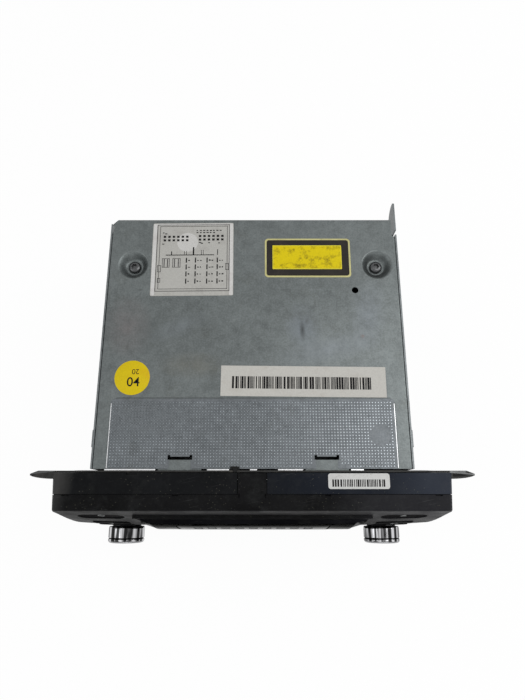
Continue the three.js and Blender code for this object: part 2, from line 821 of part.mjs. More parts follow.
function controlList() {
  const oval = { z: discPathHeight, w: ovalWidth, h: ovalHeight, r: ovalHeight / 2, rise: ovalRise };
  const list = [
    { name: 'eject_button', x: ovalX, ...oval },
    { name: 'power_button', x: -ovalX, ...oval },
  ];
  for (const [level, z] of Object.entries(sideKeyHeights)) {
    for (const [side, sign] of [['left', -1], ['right', 1]]) {
      list.push({ name: `side_key_${side}_${level}`, x: sign * sideKeyX, z, w: sideKeyWidth, h: sideKeyHeight,
        r: keyCorner, rise: sideKeyRise });
    }
  }
  for (let i = 0; i < presetCount; i += 1) {
    list.push({ name: `preset_button_${i + 1}`, x: (i - (presetCount - 1) / 2) * presetPitch, z: presetZ,
      w: presetWidth, h: presetHeight, r: keyCorner, rise: blockRise + presetRise });
  }
  return list;
}

const controls = controlList();
const fullRoundShare = 0.999;

// The outline of a control, grown all round, with corners just short of meeting
function controlShape(control, grow, x = 0, z = 0) {
  const w = control.w / 2 + grow;
  const h = control.h / 2 + grow;
  const corner = Math.min(control.r + grow, h, w) * fullRoundShare;
  return roundedRect(x - w, x + w, z - h, z + h, corner);
}

// Fascia: the front shell with its raised block, openings, slot tunnel and rear tongue

const tunnelWall = 1.6;
const tunnelStandoff = 3;
const tunnelBack = boardFront - tunnelStandoff;
const tongueHalf = 8;
const feltThickness = 1.5;

function fascia() {
  const rimShape = roundedRect(-halfPanel, halfPanel, 0, panelHeight, panelCorner);
  const front = partingY - seatGap;
  const prism = slabY(rimShape, faceFar, front);
  const outer = faceBody(0, 0, front).intersect(prism);
  const chamfer = slabZ(outline([
    [-blockBaseHalf, panelRim],
    [-blockBaseHalf, panelRim - faceSwellDepth],
    [-blockFaceHalf, panelRim - faceSwellDepth - blockRise],
    [-blockFaceHalf, faceFar],
    [blockFaceHalf, faceFar],
    [blockFaceHalf, panelRim - faceSwellDepth - blockRise],
    [blockBaseHalf, panelRim - faceSwellDepth],
    [blockBaseHalf, panelRim],
  ]), blockBottom, blockTop);
  const raised = faceBody(0, blockRise, front).intersect(chamfer);
  const insideShape = roundedRect(-halfPanel + shellWall, halfPanel - shellWall, shellWall,
    panelHeight - shellWall, panelCorner - shellWall);
  const inside = faceBody(shellWall, -shellWall, front + overrun)
    .intersect(slabY(insideShape, faceFar, front + overrun));
  const tunnel = faceBody(0, -shellWall / 2, tunnelBack).intersect(block(-slotHalf - tunnelWall,
    slotHalf + tunnelWall, faceFar, tunnelBack, discPathHeight - slotHeight / 2 - tunnelWall,
    discPathHeight + slotHeight / 2 + tunnelWall));
  const tongue = block(-tongueHalf, tongueHalf, front - overrun, panelBack - seatGap,
    panelHeight - shellWall, panelHeight);
  const slotShape = roundedRect(-slotHalf, slotHalf, discPathHeight - slotHeight / 2,
    discPathHeight + slotHeight / 2, slotHeight / 3);
  const openings = [slabY(slotShape, faceFar, tunnelBack + overrun)];
  for (const control of controls) {
    openings.push(slabY(controlShape(control, slideGap, control.x, control.z), faceFar, tunnelBack));
  }
  openings.push(slabY(roundedRect(-displayHalf - seatGap, displayHalf + seatGap, displayBase - seatGap,
    displayTop + seatGap, keyCorner), faceFar, tunnelBack));
  for (const side of [-1, 1]) {
    openings.push(rodY(spindleBoreRadius, faceFar, tunnelBack, side * knobX, knobZ));
  }
  return cut(join(cut(join(outer, raised), inside), tunnel, tongue), ...openings);
}

place(frontPanel, 'fascia', fascia(), blackPlastic);

// Bezel frame: the rear half of the panel, with a back flange and posts for the keypad board

const flangeSide = 26.5;
const flangeHalf = halfPanel - flangeSide;
const flangeBase = 8;
const flangeTop = panelHeight - flangeBase;
const flangeThickness = 2.2;
const flangeCorner = 6;
const postSide = 16.5;
const postX = halfPanel - postSide;
const postBase = 14;
const postZs = [postBase, panelHeight - postBase];
const postRadius = 3;

function bezelFrame() {
  const outer = roundedRect(-halfPanel, halfPanel, 0, panelHeight, panelCorner);
  const inner = roundedRect(-halfPanel + shellWall, halfPanel - shellWall, shellWall, panelHeight - shellWall,
    panelCorner - shellWall);
  const window = roundedRect(-flangeHalf, flangeHalf, flangeBase, flangeTop, flangeCorner);
  const tongueRoom = block(-tongueHalf - seatGap, tongueHalf + seatGap,
    partingY - overrun, panelBack + overrun, panelHeight - shellWall - seatGap, panelHeight + overrun);
  const shell = cut(slabY(outer, partingY, panelBack),
    slabY(inner, partingY - overrun, panelBack - flangeThickness),
    slabY(window, partingY, panelBack + overrun),
    tongueRoom);
  const posts = [];
  for (const x of [-postX, postX]) {
    for (const z of postZs) {
      posts.push(rodY(postRadius, boardBack + seatGap, panelBack - flangeThickness / 2, x, z));
    }
  }
  return join(shell, ...posts);
}

place(frontPanel, 'bezel_frame', bezelFrame(), blackPlastic);

// Display window, display module and keypad board

const paneThickness = 2.4;

function displayWindow() {
  const shape = roundedRect(-displayHalf, displayHalf, displayBase, displayTop, keyCorner);
  const pane = faceBody(0, blockRise + displayRise, partingY).intersect(slabY(shape, faceFar, tunnelBack));
  return cut(pane, faceBody(0, blockRise + displayRise - paneThickness, partingY + overrun));
}

place(frontPanel, 'display_window', displayWindow(), smokedPane);

const moduleInset = 2;
const moduleHalf = displayHalf - moduleInset;
const moduleBase = displayBase + moduleInset;
const moduleTop = displayTop - moduleInset;
const moduleReach = 3.8;
const moduleFront = panelRim - moduleReach;
const moduleBezel = 2.5;
const moduleStep = 1.2;

function displayModule() {
  const body = block(-moduleHalf, moduleHalf, moduleFront + moduleStep, boardFront - seatGap,
    moduleBase, moduleTop);
  const glass = block(-moduleHalf + moduleBezel, moduleHalf - moduleBezel,
    moduleFront, moduleFront + 2 * moduleStep, moduleBase + moduleBezel, moduleTop - moduleBezel);
  return join(body, glass);
}

place(frontPanel, 'display_module', displayModule(), displayGrey);

const keypadSide = 10.5;
const keypadHalf = halfPanel - keypadSide;
const keypadBase = 6;
const keypadTopDrop = 7;
const keypadTop = panelHeight - keypadTopDrop;
const keypadNotchGap = 2.4;
const keypadNotchHalf = slotHalf + tunnelWall + keypadNotchGap;
const keypadNotchBase = discPathHeight - slotHeight / 2 - tunnelWall - keypadNotchGap;
const switchSize = 5;
const switchHeight = 1;

function keypadBoard() {
  const sheetShape = roundedRect(-keypadHalf, keypadHalf, keypadBase, keypadTop, windowCorner);
  const board = slabY(sheetShape, boardFront, boardBack);
  const notch = block(-keypadNotchHalf, keypadNotchHalf, boardFront - overrun, boardBack + overrun,
    keypadNotchBase, keypadTop + overrun);
  const switches = controls.map(({ x, z }) => block(x - switchSize / 2, x + switchSize / 2,
    boardFront - switchHeight, boardBack - boardThickness / 2, z - switchSize / 2, z + switchSize / 2));
  return join(cut(board, notch), ...switches);
}

place(frontPanel, 'keypad_board', keypadBoard(), circuitGreen);

// Felt lips behind the slot tunnel

const feltMargin = 1.2;
const feltSlit = 4.8;

function slotFelt() {
  const front = tunnelBack + seatGap;
  const frame = block(-slotHalf - feltMargin, slotHalf + feltMargin, front, front + feltThickness,
    discPathHeight - slotHeight / 2 - feltMargin, discPathHeight + slotHeight / 2 + feltMargin);
  const slit = block(-slotHalf + feltMargin, slotHalf - feltMargin,
    front - overrun, front + feltThickness + overrun,
    discPathHeight - feltSlit / 2, discPathHeight + feltSlit / 2);
  return cut(frame, slit);
}

place(frontPanel, 'slot_felt', slotFelt(), softBlack);

// Buttons: a cap that follows the face, a retaining flange and a stem over its switch

const buttonTravel = 1.2;
const buttonFlange = 1;
const buttonFlangeThickness = 1.2;
const buttonFlangeFront = panelRim + shellWall + seatGap;
const stemSize = 3;

function button(control) {
  const flangeBack = buttonFlangeFront + buttonFlangeThickness;
  const cap = faceBody(0, control.rise, flangeBack, control.x, control.z)
    .intersect(slabY(controlShape(control, 0), faceFar, flangeBack));
  const flange = slabY(controlShape(control, buttonFlange), buttonFlangeFront, flangeBack);
  const stem = block(-stemSize / 2, stemSize / 2, flangeBack - buttonFlangeThickness / 2,
    boardFront - switchHeight - buttonTravel - seatGap, -stemSize / 2, stemSize / 2);
  return join(cap, flange, stem);
}

for (const control of controls) {
  place(frontPanel, control.name, button(control), blackPlastic, control.x, 0, control.z);
}

// Knobs with their encoders and plungers

const knobRadius = 11.8;
const knobClearance = 0.9;
const knobBack = -panelRim + faceSwellDepth + knobClearance;
const knobReach = knobBack + knobLength;
const knobFacets = 24;
const knobRimRound = 1.8;
const knobDish = 0.6;
const knobRecess = 1.6;
const shaftPlay = 0.15;
const spindleRadius = 1.6;
const plungerBore = spindleRadius + shaftPlay;
const plungerRadius = 2.6;
const plungerStandback = 5.4;
const plungerFront = knobBack - plungerStandback;
const plungerTravel = 0.8;
const encoderSize = 13;
const encoderDepth = 6.2;
const encoderBush = 4.5;
const encoderBushRadius = 4;
const encoderBore = plungerRadius + shaftPlay;
const encoderFloor = 0.6;
const encoderBack = boardFront - seatGap;
const plungerEnd = -encoderBack + encoderFloor + plungerTravel + seatGap;
const spindleEnd = plungerEnd + overrun;

function knob() {
  const rim = knobRadius - knobRimRound;
  const cap = turnedFront([
    [0, knobBack + knobRecess],
    [rim, knobBack + knobRecess],
    [rim, knobBack],
    [knobRadius, knobBack],
    [knobRadius, knobReach - knobRimRound],
    [knobRadius - knobRimRound / 3, knobReach - knobRimRound / 3],
    [rim, knobReach],
    [rim - knobDish, knobReach - knobDish],
    [0, knobReach - knobDish],
  ], knobFacets);
  return join(cap, rodY(spindleRadius, -knobBack - 2 * knobRecess, -spindleEnd));
}

function plunger() {
  return cut(rodY(plungerRadius, -plungerFront, -plungerEnd),
    rodY(plungerBore, -plungerFront - overrun, overrun));
}

function encoder() {
  const front = encoderBack - encoderDepth;
  const half = encoderSize / 2;
  const body = join(block(-half, half, front, encoderBack, -half, half),
    rodY(encoderBushRadius, front - encoderBush, front + overrun));
  return cut(body, rodY(encoderBore, front - encoderBush - overrun, encoderBack - encoderFloor));
}

for (const [name, side] of [['volume', -1], ['tune', 1]]) {
  place(frontPanel, `${name}_encoder`, encoder(), dullSteel, side * knobX, 0, knobZ);
  place(frontPanel, `${name}_plunger`, plunger(), gearWhite, side * knobX, 0, knobZ);
  place(frontPanel, `${name}_knob`, knob(), chromePlate, side * knobX, 0, knobZ);
}

// Disc deck. Its group stands at the centre of a seated disc, so heights are counted from the disc.

deck.position.set(0, discCentreDepth, discPathHeight);

const pathHalf = 2.4;
const deckFront = -deckHalf;
const deckRear = discRadius + deckRearMargin;
const baseTop = -17.8;
const baseSheet = 1.2;
const baseUnder = baseTop - baseSheet;
const railTop = 2.7;
const guideUnder = railTop + seatGap;
const guideTop = guideUnder + sheet;

// Cradle under the deck, folded up at the sides, with tabs under the cover screws

const cradleHalf = coverHalf - sheet - 2 * seatGap;
const cradleFrontInset = 6;
const cradleFront = deckFront + cradleFrontInset;
const cradleRearInset = 10;
const cradleRear = deckRear - cradleRearInset;
const cradleTop = -25;
const cradleUnder = cradleTop - sheet;
const cradleTabTop = dimpleUnder - seatGap - discPathHeight;
const cradleTabMargin = 7.2;
const cradleTabLength = 16;
const cradleWindowHalf = 30;
const cradleWindowFront = 14;
const cradleWindowRear = 50;

function deckCradle() {
  const floor = block(-cradleHalf, cradleHalf, cradleFront, cradleRear, cradleUnder, cradleTop);
  const parts = [floor];
  const holes = [block(-cradleWindowHalf, cradleWindowHalf, cradleWindowFront, cradleWindowRear,
    cradleUnder - overrun, cradleTop + overrun)];
  const tabY = dimpleY - discCentreDepth;
  for (const [side, x] of Object.entries(dimpleXs)) {
    const sign = side === 'left' ? -1 : 1;
    const outer = sign * cradleHalf;
    const inner = sign * (cradleHalf - sheet);
    parts.push(block(Math.min(outer, inner), Math.max(outer, inner), cradleFront, cradleRear,
      cradleUnder, cradleTabTop - sheet));
    const tabEnd = x - sign * cradleTabMargin;
    parts.push(block(Math.min(outer, tabEnd), Math.max(outer, tabEnd), tabY - cradleTabLength / 2,
      tabY + cradleTabLength / 2, cradleTabTop - sheet, cradleTabTop));
    parts.push(block(Math.min(outer, inner), Math.max(outer, inner), tabY - cradleTabLength / 2,
      tabY + cradleTabLength / 2, cradleUnder, cradleTabTop));
    holes.push(rodZ(screwHoleRadius, screwHoleRadius, cradleTabTop - 2 * overrun, cradleTabTop + overrun,
      x, tabY));
  }
  return cut(join(...parts), ...holes);
}

place(deck, 'deck_cradle', deckCradle(), zincSteel);

// Rubber dampers between cradle and deck

const damperSide = 8;
const damperX = deckHalf - damperSide;
const damperFrontInset = 24;
const damperFront = deckFront + damperFrontInset;
const damperRearInset = 16;
const damperRear = deckRear - damperRearInset;
const damperRadius = 5;
const damperNeckShare = 0.7;
const damperBase = cradleTop + seatGap;
const damperTop = baseUnder - seatGap;

function damper() {
  const height = damperTop - damperBase;
  const neck = damperRadius * damperNeckShare;
  return turnedZ([
    [0, 0],
    [damperRadius, 0],
    [damperRadius, height / 4],
    [neck, height / 3],
    [neck, height * 2 / 3],
    [damperRadius, height * 3 / 4],
    [damperRadius, height],
    [0, height],
  ], smallSteps);
}

for (const [end, y] of [['front', damperFront], ['rear', damperRear]]) {
  place(deck, `damper_${end}_left`, damper(), softBlack, -damperX, y, damperBase);
  place(deck, `damper_${end}_right`, damper(), softBlack, damperX, y, damperBase);
}

// Gear train places. The loading gears stand outside the left rail and turn about X.

const loadModule = 0.6;
const rollerTeeth = 24;
const idlerTeeth = 30;
const pinionTeeth = 12;
const gearWidth = 3;
const railClear = 1.3;
const loadGearX0 = -deckHalf - railClear - gearWidth;
const rollerInset = 6;
const rollerY = deckFront + rollerInset;
const rollerRadius = 4;
const rollerWaist = 3.4;
const rollerShort = 2;
const rollerHalf = discRadius - rollerShort;
const rollerZ = -pathHalf - rollerRadius;
const rollerShaft = 1.5;
const idlerAngle = -Math.PI / 6;
const pinionAngle = 0.2487;
const pinRadius = 1.5;
const motorRadius = 6;
const motorLength = 24;
const motorShaft = 0.9;
const idlerReach = loadModule * (rollerTeeth + idlerTeeth) / 2;
const idlerY = rollerY + idlerReach * Math.cos(idlerAngle);
const idlerZ = rollerZ + idlerReach * Math.sin(idlerAngle);
const pinionReach = loadModule * (idlerTeeth + pinionTeeth) / 2;
const loadPinionY = idlerY + pinionReach * Math.cos(pinionAngle);
const loadPinionZ = idlerZ + pinionReach * Math.sin(pinionAngle);

// Sled drive places. The sled slides along X, and its gears turn about Z.

const sledModule = 0.5;
const sledGearTeeth = 36;
const sledSmallTeeth = 14;
const sledPinionTeeth = 12;
const turntableRadius = 13;
const sledClearance = 1.5;
const sledInner = turntableRadius + sledClearance;
const sledWidth = 18;
const sledHalf = 20;
const sledTravel = 34;
const sledUnder = -14.8;
const sledTop = -6.5;
const rodSpread = 17;
const rodRadius = 1.5;
const rodHeight = -11;
const rackDepth = 1.8;
const rackHeight = 2;
const stubAddendum = 0.8;
const stubDedendum = 1;
const rackPitchY = -sledHalf - rackDepth - stubDedendum * sledModule;
const sledGearX = 31;
const sledGearY = rackPitchY - sledModule * sledSmallTeeth / 2;
const sledPinionAngle = Math.PI * 10 / 9;
const sledPinionReach = sledModule * (sledGearTeeth + sledPinionTeeth) / 2;
const sledPinionX = sledGearX + sledPinionReach * Math.cos(sledPinionAngle);
const sledPinionY = sledGearY + sledPinionReach * Math.sin(sledPinionAngle);
const sledGearBase = baseTop + seatGap;
const sledGearThickness = 2;
const sledGearHub = 0.5;
const sledPinRadius = 1.2;

// Deck base: a floor with two rails, rod posts, the idler's pin and bores for the shafts

const rodPostX0 = 1;
const rodPostX1 = 5;
const rodPostHalf = 2;
const rodPostTop = 3;
const spindleShaft = 1;

function deckBase() {
  const parts = [block(-deckHalf, deckHalf, deckFront, deckRear, baseUnder, baseTop)];
  for (const side of [-1, 1]) {
    const x0 = Math.min(side * deckHalf, side * (deckHalf - sheet));
    parts.push(block(x0, x0 + sheet, deckFront, deckRear, baseUnder, railTop));
    parts.push(block(rodPostX0, rodPostX1, side * rodSpread - rodPostHalf, side * rodSpread + rodPostHalf,
      baseUnder, rodHeight + rodPostTop));
  }
  parts.push(rodX(pinRadius, loadGearX0 - seatGap, -deckHalf + sheet / 2, idlerY, idlerZ));
  const pinTop = sledGearBase + 2 * sledGearThickness + sledGearHub + sheet;
  parts.push(rodZ(sledPinRadius, sledPinRadius, baseUnder, pinTop, sledGearX, sledGearY));
  const rodBore = rodRadius + shaftGap;
  const motorHole = motorShaft + slideGap;
  const bores = [
    rodX(rollerShaft + shaftGap, -deckHalf - overrun, deckHalf + overrun, rollerY, rollerZ),
    rodX(motorHole, -deckHalf - overrun, -deckHalf + sheet + overrun, loadPinionY, loadPinionZ),
    rodX(rodBore, rodPostX0 - overrun, rodPostX1 + overrun, rodSpread, rodHeight),
    rodX(rodBore, rodPostX0 - overrun, rodPostX1 + overrun, -rodSpread, rodHeight),
    rodZ(motorHole, motorHole, baseUnder - overrun, baseTop + overrun, sledPinionX, sledPinionY),
  ];
  return cut(join(...parts), ...bores);
}

place(deck, 'deck_base', deckBase(), dullSteel);

// Disc guide: the deck's upper plate, with a hole for the clamp and two ears for its pivot

const guideInset = 2;
const puckRadius = 13;
const clampHoleMargin = 4;
const clampHoleRadius = puckRadius + clampHoleMargin;
const pivotY = 42;
const pivotZ = 7;
const pivotPin = 1.5;
const earInner = 10;
const earThickness = 2;
const earHalf = 4;
const pivotPinHalf = earInner + earThickness + overrun;

function discGuide() {
  const plate = slabZ(roundedRect(-deckHalf + seatGap, deckHalf - seatGap, deckFront + guideInset,
    deckRear - guideInset, windowCorner), guideUnder, guideTop);
  const ears = [-1, 1].map((side) => {
    const x0 = Math.min(side * earInner, side * (earInner + earThickness));
    return block(x0, x0 + earThickness, pivotY - earHalf, pivotY + earHalf,
      guideTop - sheet / 2, pivotZ + earHalf);
  });
  const clampHole = rodZ(clampHoleRadius, clampHoleRadius, guideUnder - overrun, guideTop + overrun,
    0, 0, roundSteps);
  const pinBore = rodX(pivotPin + shaftGap, -pivotPinHalf - overrun, pivotPinHalf + overrun, pivotY, pivotZ);
  return cut(join(plate, ...ears), clampHole, pinBore);
}

place(deck, 'disc_guide', discGuide(), dullSteel);

// Spindle motor and turntable. The hub's top stays just under the path of a disc on its way in.

const spindleMotorRadius = 10.5;
const spindleMotorTop = -6.4;
const turntableUnder = spindleMotorTop + seatGap;
const turntableThickness = 1.6;
const turntableTop = turntableUnder + turntableThickness;
const hubRadius = 7.2;
const hubTopRadius = 5.6;
const hubTop = -pathHalf - slideGap / 2;
const spindleDepth = 8;

function spindleMotor() {
  const can = rodZ(spindleMotorRadius, spindleMotorRadius, baseTop + seatGap, spindleMotorTop,
    0, 0, roundSteps);
  const bore = spindleShaft + shaftGap;
  const boreEnd = spindleMotorTop - spindleDepth - seatGap;
  return cut(can, rodZ(bore, bore, boreEnd, spindleMotorTop + overrun));
}

place(deck, 'spindle_motor', spindleMotor(), brightSteel);

function turntable() {
  return turnedZ([
    [0, spindleMotorTop - spindleDepth],
    [spindleShaft, spindleMotorTop - spindleDepth],
    [spindleShaft, turntableUnder],
    [turntableRadius, turntableUnder],
    [turntableRadius, turntableTop],
    [hubRadius, turntableTop],
    [hubTopRadius, hubTop],
    [0, hubTop],
  ]);
}

place(deck, 'turntable', turntable(), blackPlastic);

// Clamp arm and the puck that turns in it. Both are drawn level, as they lie on a seated disc, in a
// group that turns about the arm's pivot and is lifted clear of the disc's path.

const clampLift = Math.PI * 11.5 / 180;
const armHalf = 8;
const armFront = -52;
const armStep = -30;
const armBarrel = 2.5;
const armHeelUnder = -0.8;
const puckUnder = turntableTop + discThickness - pivotZ;
const puckThickness = 2.1;
const puckPlay = 0.8;
const armUnder = puckUnder + puckThickness + puckPlay;
const armTop = armUnder + sheet;
const puckTopShare = 0.8;
const puckNeck = 2.6;
const puckCap = 4.5;
const puckCapThickness = 1.2;
const puckRecessRadius = hubRadius + slideGap;
const puckRecess = hubTop - turntableTop - discThickness + slideGap;
const armHole = puckNeck + slideGap;

const clamp = new THREE.Group();
clamp.position.set(0, pivotY, pivotZ);
clamp.rotation.x = -clampLift;
deck.add(clamp);

function clampArm() {
  const toe = block(-armHalf, armHalf, armFront, armStep, armUnder, armTop);
  const riser = block(-armHalf, armHalf, armStep, armStep + sheet, armUnder, armHeelUnder + sheet);
  const heel = block(-armHalf, armHalf, armStep, 0, armHeelUnder, armHeelUnder + sheet);
  const barrel = rodX(armBarrel, -armHalf, armHalf);
  const pin = rodX(pivotPin, -pivotPinHalf, pivotPinHalf);
  const hole = rodZ(armHole, armHole, armUnder - overrun, armTop + overrun, 0, -pivotY);
  return cut(join(toe, riser, heel, barrel, pin), hole);
}

place(clamp, 'clamp_arm', clampArm(), zincSteel);

function clampPuck() {
  const capBase = armTop + seatGap;
  return turnedZ([
    [0, puckUnder + puckRecess],
    [puckRecessRadius, puckUnder + puckRecess],
    [puckRecessRadius, puckUnder],
    [puckRadius, puckUnder],
    [puckRadius, puckUnder + puckThickness / 2],
    [puckRadius * puckTopShare, puckUnder + puckThickness],
    [puckNeck, puckUnder + puckThickness],
    [puckNeck, capBase],
    [puckCap, capBase],
    [puckCap, capBase + puckCapThickness],
    [0, capBase + puckCapThickness],
  ]);
}

place(clamp, 'clamp_puck', clampPuck(), blackPlastic, 0, -pivotY, 0);

// Involute gear outlines with stub teeth, thinned for backlash

const pressureAngle = Math.PI * 25 / 180;
const backlash = 0.12;
const flankSteps = 2;

function involute(angle) {
  return Math.tan(angle) - angle;
}

// One tooth is centred on the first axis of the outline
function gearShape(module, teeth, boreRadius) {
  const pitchRadius = module * teeth / 2;
  const baseRadius = pitchRadius * Math.cos(pressureAngle);
  const tipRadius = pitchRadius + stubAddendum * module;
  const rootRadius = pitchRadius - stubDedendum * module;
  const startRadius = Math.max(baseRadius, rootRadius);
  const halfTooth = (Math.PI * module / 2 - backlash) / 2 / pitchRadius + involute(pressureAngle);
  const points = [];
  for (let tooth = 0; tooth < teeth; tooth += 1) {
    const middle = tooth * 2 * Math.PI / teeth;
    const flank = [];
    if (rootRadius < baseRadius) flank.push([rootRadius, halfTooth]);
    for (let step = 0; step < flankSteps; step += 1) {
      const radius = startRadius + (tipRadius - startRadius) * step / (flankSteps - 1);
      flank.push([radius, halfTooth - involute(Math.acos(Math.min(baseRadius / radius, 1)))]);
    }
    for (const [radius, half] of flank) points.push([radius, middle - half]);
    for (const [radius, half] of flank.reverse()) points.push([radius, middle + half]);
  }
  const corners = points.map(([radius, angle]) => [radius * Math.cos(angle), radius * Math.sin(angle)]);
  const shape = outline(corners);
  if (boreRadius > 0) {
    const bore = new THREE.Path();
    bore.absarc(0, 0, boreRadius, 0, Math.PI * 2, true);
    shape.holes.push(new THREE.Path(bore.getPoints(smallSteps / 2)));
  }
  return shape;
}

// The turn that puts a gear in mesh with its driver, which stands in the opposite direction
function meshedTurn(direction, driverTurn, driverTeeth, teeth) {
  return direction + Math.PI + Math.PI / teeth - (driverTurn - direction) * driverTeeth / teeth;
}

// Loading roller with its shaft, and the loading gears

function loadingRoller() {
  const shaft = rodX(rollerShaft, loadGearX0 - seatGap, deckHalf + seatGap);
  const rubber = turnedX([
    [0, -rollerHalf],
    [rollerRadius, -rollerHalf],
    [rollerWaist, 0],
    [rollerRadius, rollerHalf],
    [0, rollerHalf],
  ]);
  return join(shaft, rubber);
}

place(deck, 'loading_roller', loadingRoller(), softBlack, 0, rollerY, rollerZ);

function turnedGear(name, teeth, bore, y, z, turn) {
  const gear = slabX(gearShape(loadModule, teeth, bore), 0, gearWidth);
  const mesh = place(deck, name, gear, gearWhite, loadGearX0, y, z);
  mesh.rotation.x = turn;
}

const rollerTurn = idlerAngle;
const idlerTurn = meshedTurn(idlerAngle, rollerTurn, rollerTeeth, idlerTeeth);
const loadPinionTurn = meshedTurn(pinionAngle, idlerTurn, idlerTeeth, pinionTeeth);
turnedGear('roller_gear', rollerTeeth, rollerShaft + shaftGap, rollerY, rollerZ, rollerTurn);
turnedGear('idler_gear', idlerTeeth, pinRadius + shaftGap, idlerY, idlerZ, idlerTurn);

const motorX0 = -deckHalf + sheet + seatGap;

function motorPinion() {
  const gear = slabX(gearShape(loadModule, pinionTeeth, 0), 0, gearWidth);
  const shaft = rodX(motorShaft, gearWidth / 2, motorX0 - loadGearX0 + motorLength / 2);
  return join(gear, shaft);
}

const loadPinion = place(deck, 'motor_pinion', motorPinion(), gearWhite,
  loadGearX0, loadPinionY, loadPinionZ);
loadPinion.rotation.x = loadPinionTurn;

function loadingMotor() {
  const can = rodX(motorRadius, 0, motorLength, 0, 0, roundSteps);
  return cut(can, rodX(motorShaft + shaftGap, -overrun, motorLength / 2 + seatGap));
}

place(deck, 'loading_motor', loadingMotor(), brightSteel, motorX0, loadPinionY, loadPinionZ);

// Guide rods and the laser sled with its rack

function guideRod() {
  return rodX(rodRadius, rodPostX0 + seatGap, deckHalf - sheet - seatGap);
}

place(deck, 'guide_rod_front', guideRod(), brightSteel, 0, -rodSpread, rodHeight);
place(deck, 'guide_rod_rear', guideRod(), brightSteel, 0, rodSpread, rodHeight);

const lensX = 9;
const lensWell = 3.4;
const lensWellFloor = -9.9;

function rackShape() {
  const length = sledTravel + sledWidth + sledModule * Math.PI;
  const start = -sledTravel - sledModule * Math.PI;
  const pitch = Math.PI * sledModule;
  const tip = rackPitchY - stubAddendum * sledModule;
  const root = rackPitchY + stubDedendum * sledModule;
  const slope = Math.tan(pressureAngle);
  const rootHalf = (pitch - backlash) / 4 + stubDedendum * sledModule * slope;
  const tipHalf = (pitch - backlash) / 4 - stubAddendum * sledModule * slope;
  const points = [[start, -sledHalf + sheet], [start, root]];
  const gapCentre = sledGearX - sledInner;
  const firstTooth = Math.ceil((start + pitch - gapCentre) / pitch - 1 / 2);
  for (let tooth = firstTooth; ; tooth += 1) {
    const x = gapCentre + (tooth + 1 / 2) * pitch;
    if (x + pitch > start + length) break;
    points.push([x - rootHalf, root], [x - tipHalf, tip], [x + tipHalf, tip], [x + rootHalf, root]);
  }
  points.push([sledWidth, root], [sledWidth, -sledHalf + sheet]);
  return outline(points.reverse());
}

function laserSled() {
  const body = block(0, sledWidth, -sledHalf, sledHalf, sledUnder, sledTop);
  const rack = slabZ(rackShape(), sledUnder, sledUnder + rackHeight);
  const bores = [-1, 1].map((side) => rodX(rodRadius + shaftGap, -overrun, sledWidth + overrun,
    side * rodSpread, rodHeight));
  const well = rodZ(lensWell, lensWell, lensWellFloor, sledTop + overrun, lensX, 0, smallSteps);
  return cut(join(body, rack), ...bores, well);
}

place(deck, 'laser_sled', laserSled(), blackPlastic, sledInner, 0, 0);

const lensRadius = 3;
const lensStroke = 0.4;
const lensDistance = 1.2;
const lensCrown = 0.4;
const lensTop = turntableTop - lensDistance;

function objectiveLens() {
  const floor = lensWellFloor + lensStroke + seatGap;
  return turnedZ([
    [0, floor],
    [lensRadius, floor],
    [lensRadius, lensTop - lensCrown],
    [lensRadius / 2, lensTop],
    [0, lensTop],
  ], smallSteps);
}

place(deck, 'objective_lens', objectiveLens(), lensClear, sledInner + lensX, 0, 0);

// Sled gear, sled pinion and the flat motor under the deck

function sledGear() {
  const bore = sledPinRadius + shaftGap;
  const large = slabZ(gearShape(sledModule, sledGearTeeth, bore), 0, sledGearThickness);
  const small = slabZ(gearShape(sledModule, sledSmallTeeth, bore), sledGearThickness - sheet / 2,
    2 * sledGearThickness + sledGearHub);
  return join(large, small);
}

const sledGearTurn = Math.PI / 2;
const sledGearMesh = place(deck, 'sled_gear', sledGear(), gearWhite, sledGearX, sledGearY, sledGearBase);
sledGearMesh.rotation.z = sledGearTurn;

const flatMotorRadius = 6.5;
const flatMotorHeight = 4.6;
const flatMotorTop = baseUnder - seatGap;

function sledPinion() {
  const gear = slabZ(gearShape(sledModule, sledPinionTeeth, 0), 0, sledGearThickness);
  const shaftEnd = flatMotorTop - flatMotorHeight / 2 - sledGearBase;
  return join(gear, rodZ(motorShaft, motorShaft, shaftEnd, sledGearThickness / 2));
}

const sledPinionMesh = place(deck, 'sled_pinion', sledPinion(), gearWhite,
  sledPinionX, sledPinionY, sledGearBase);
sledPinionMesh.rotation.z = meshedTurn(sledPinionAngle, sledGearTurn, sledGearTeeth, sledPinionTeeth);

function sledMotor() {
  const can = rodZ(flatMotorRadius, flatMotorRadius, -flatMotorHeight, 0);
  const bore = motorShaft + shaftGap;
  return cut(can, rodZ(bore, bore, -flatMotorHeight / 2 - seatGap, overrun));
}

place(deck, 'sled_motor', sledMotor(), brightSteel, sledPinionX, sledPinionY, flatMotorTop);

// The outer group stands over the middle of the whole object, from the knobs to the rear lug

radio.position.y = -(bodyDepth + rearLugReach - knobReach) / 2;

export default radio;
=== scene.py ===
from math import atan2, copysign, cos, pi, radians, sin
from random import Random

import bmesh
import bpy
from mathutils import Matrix, Vector


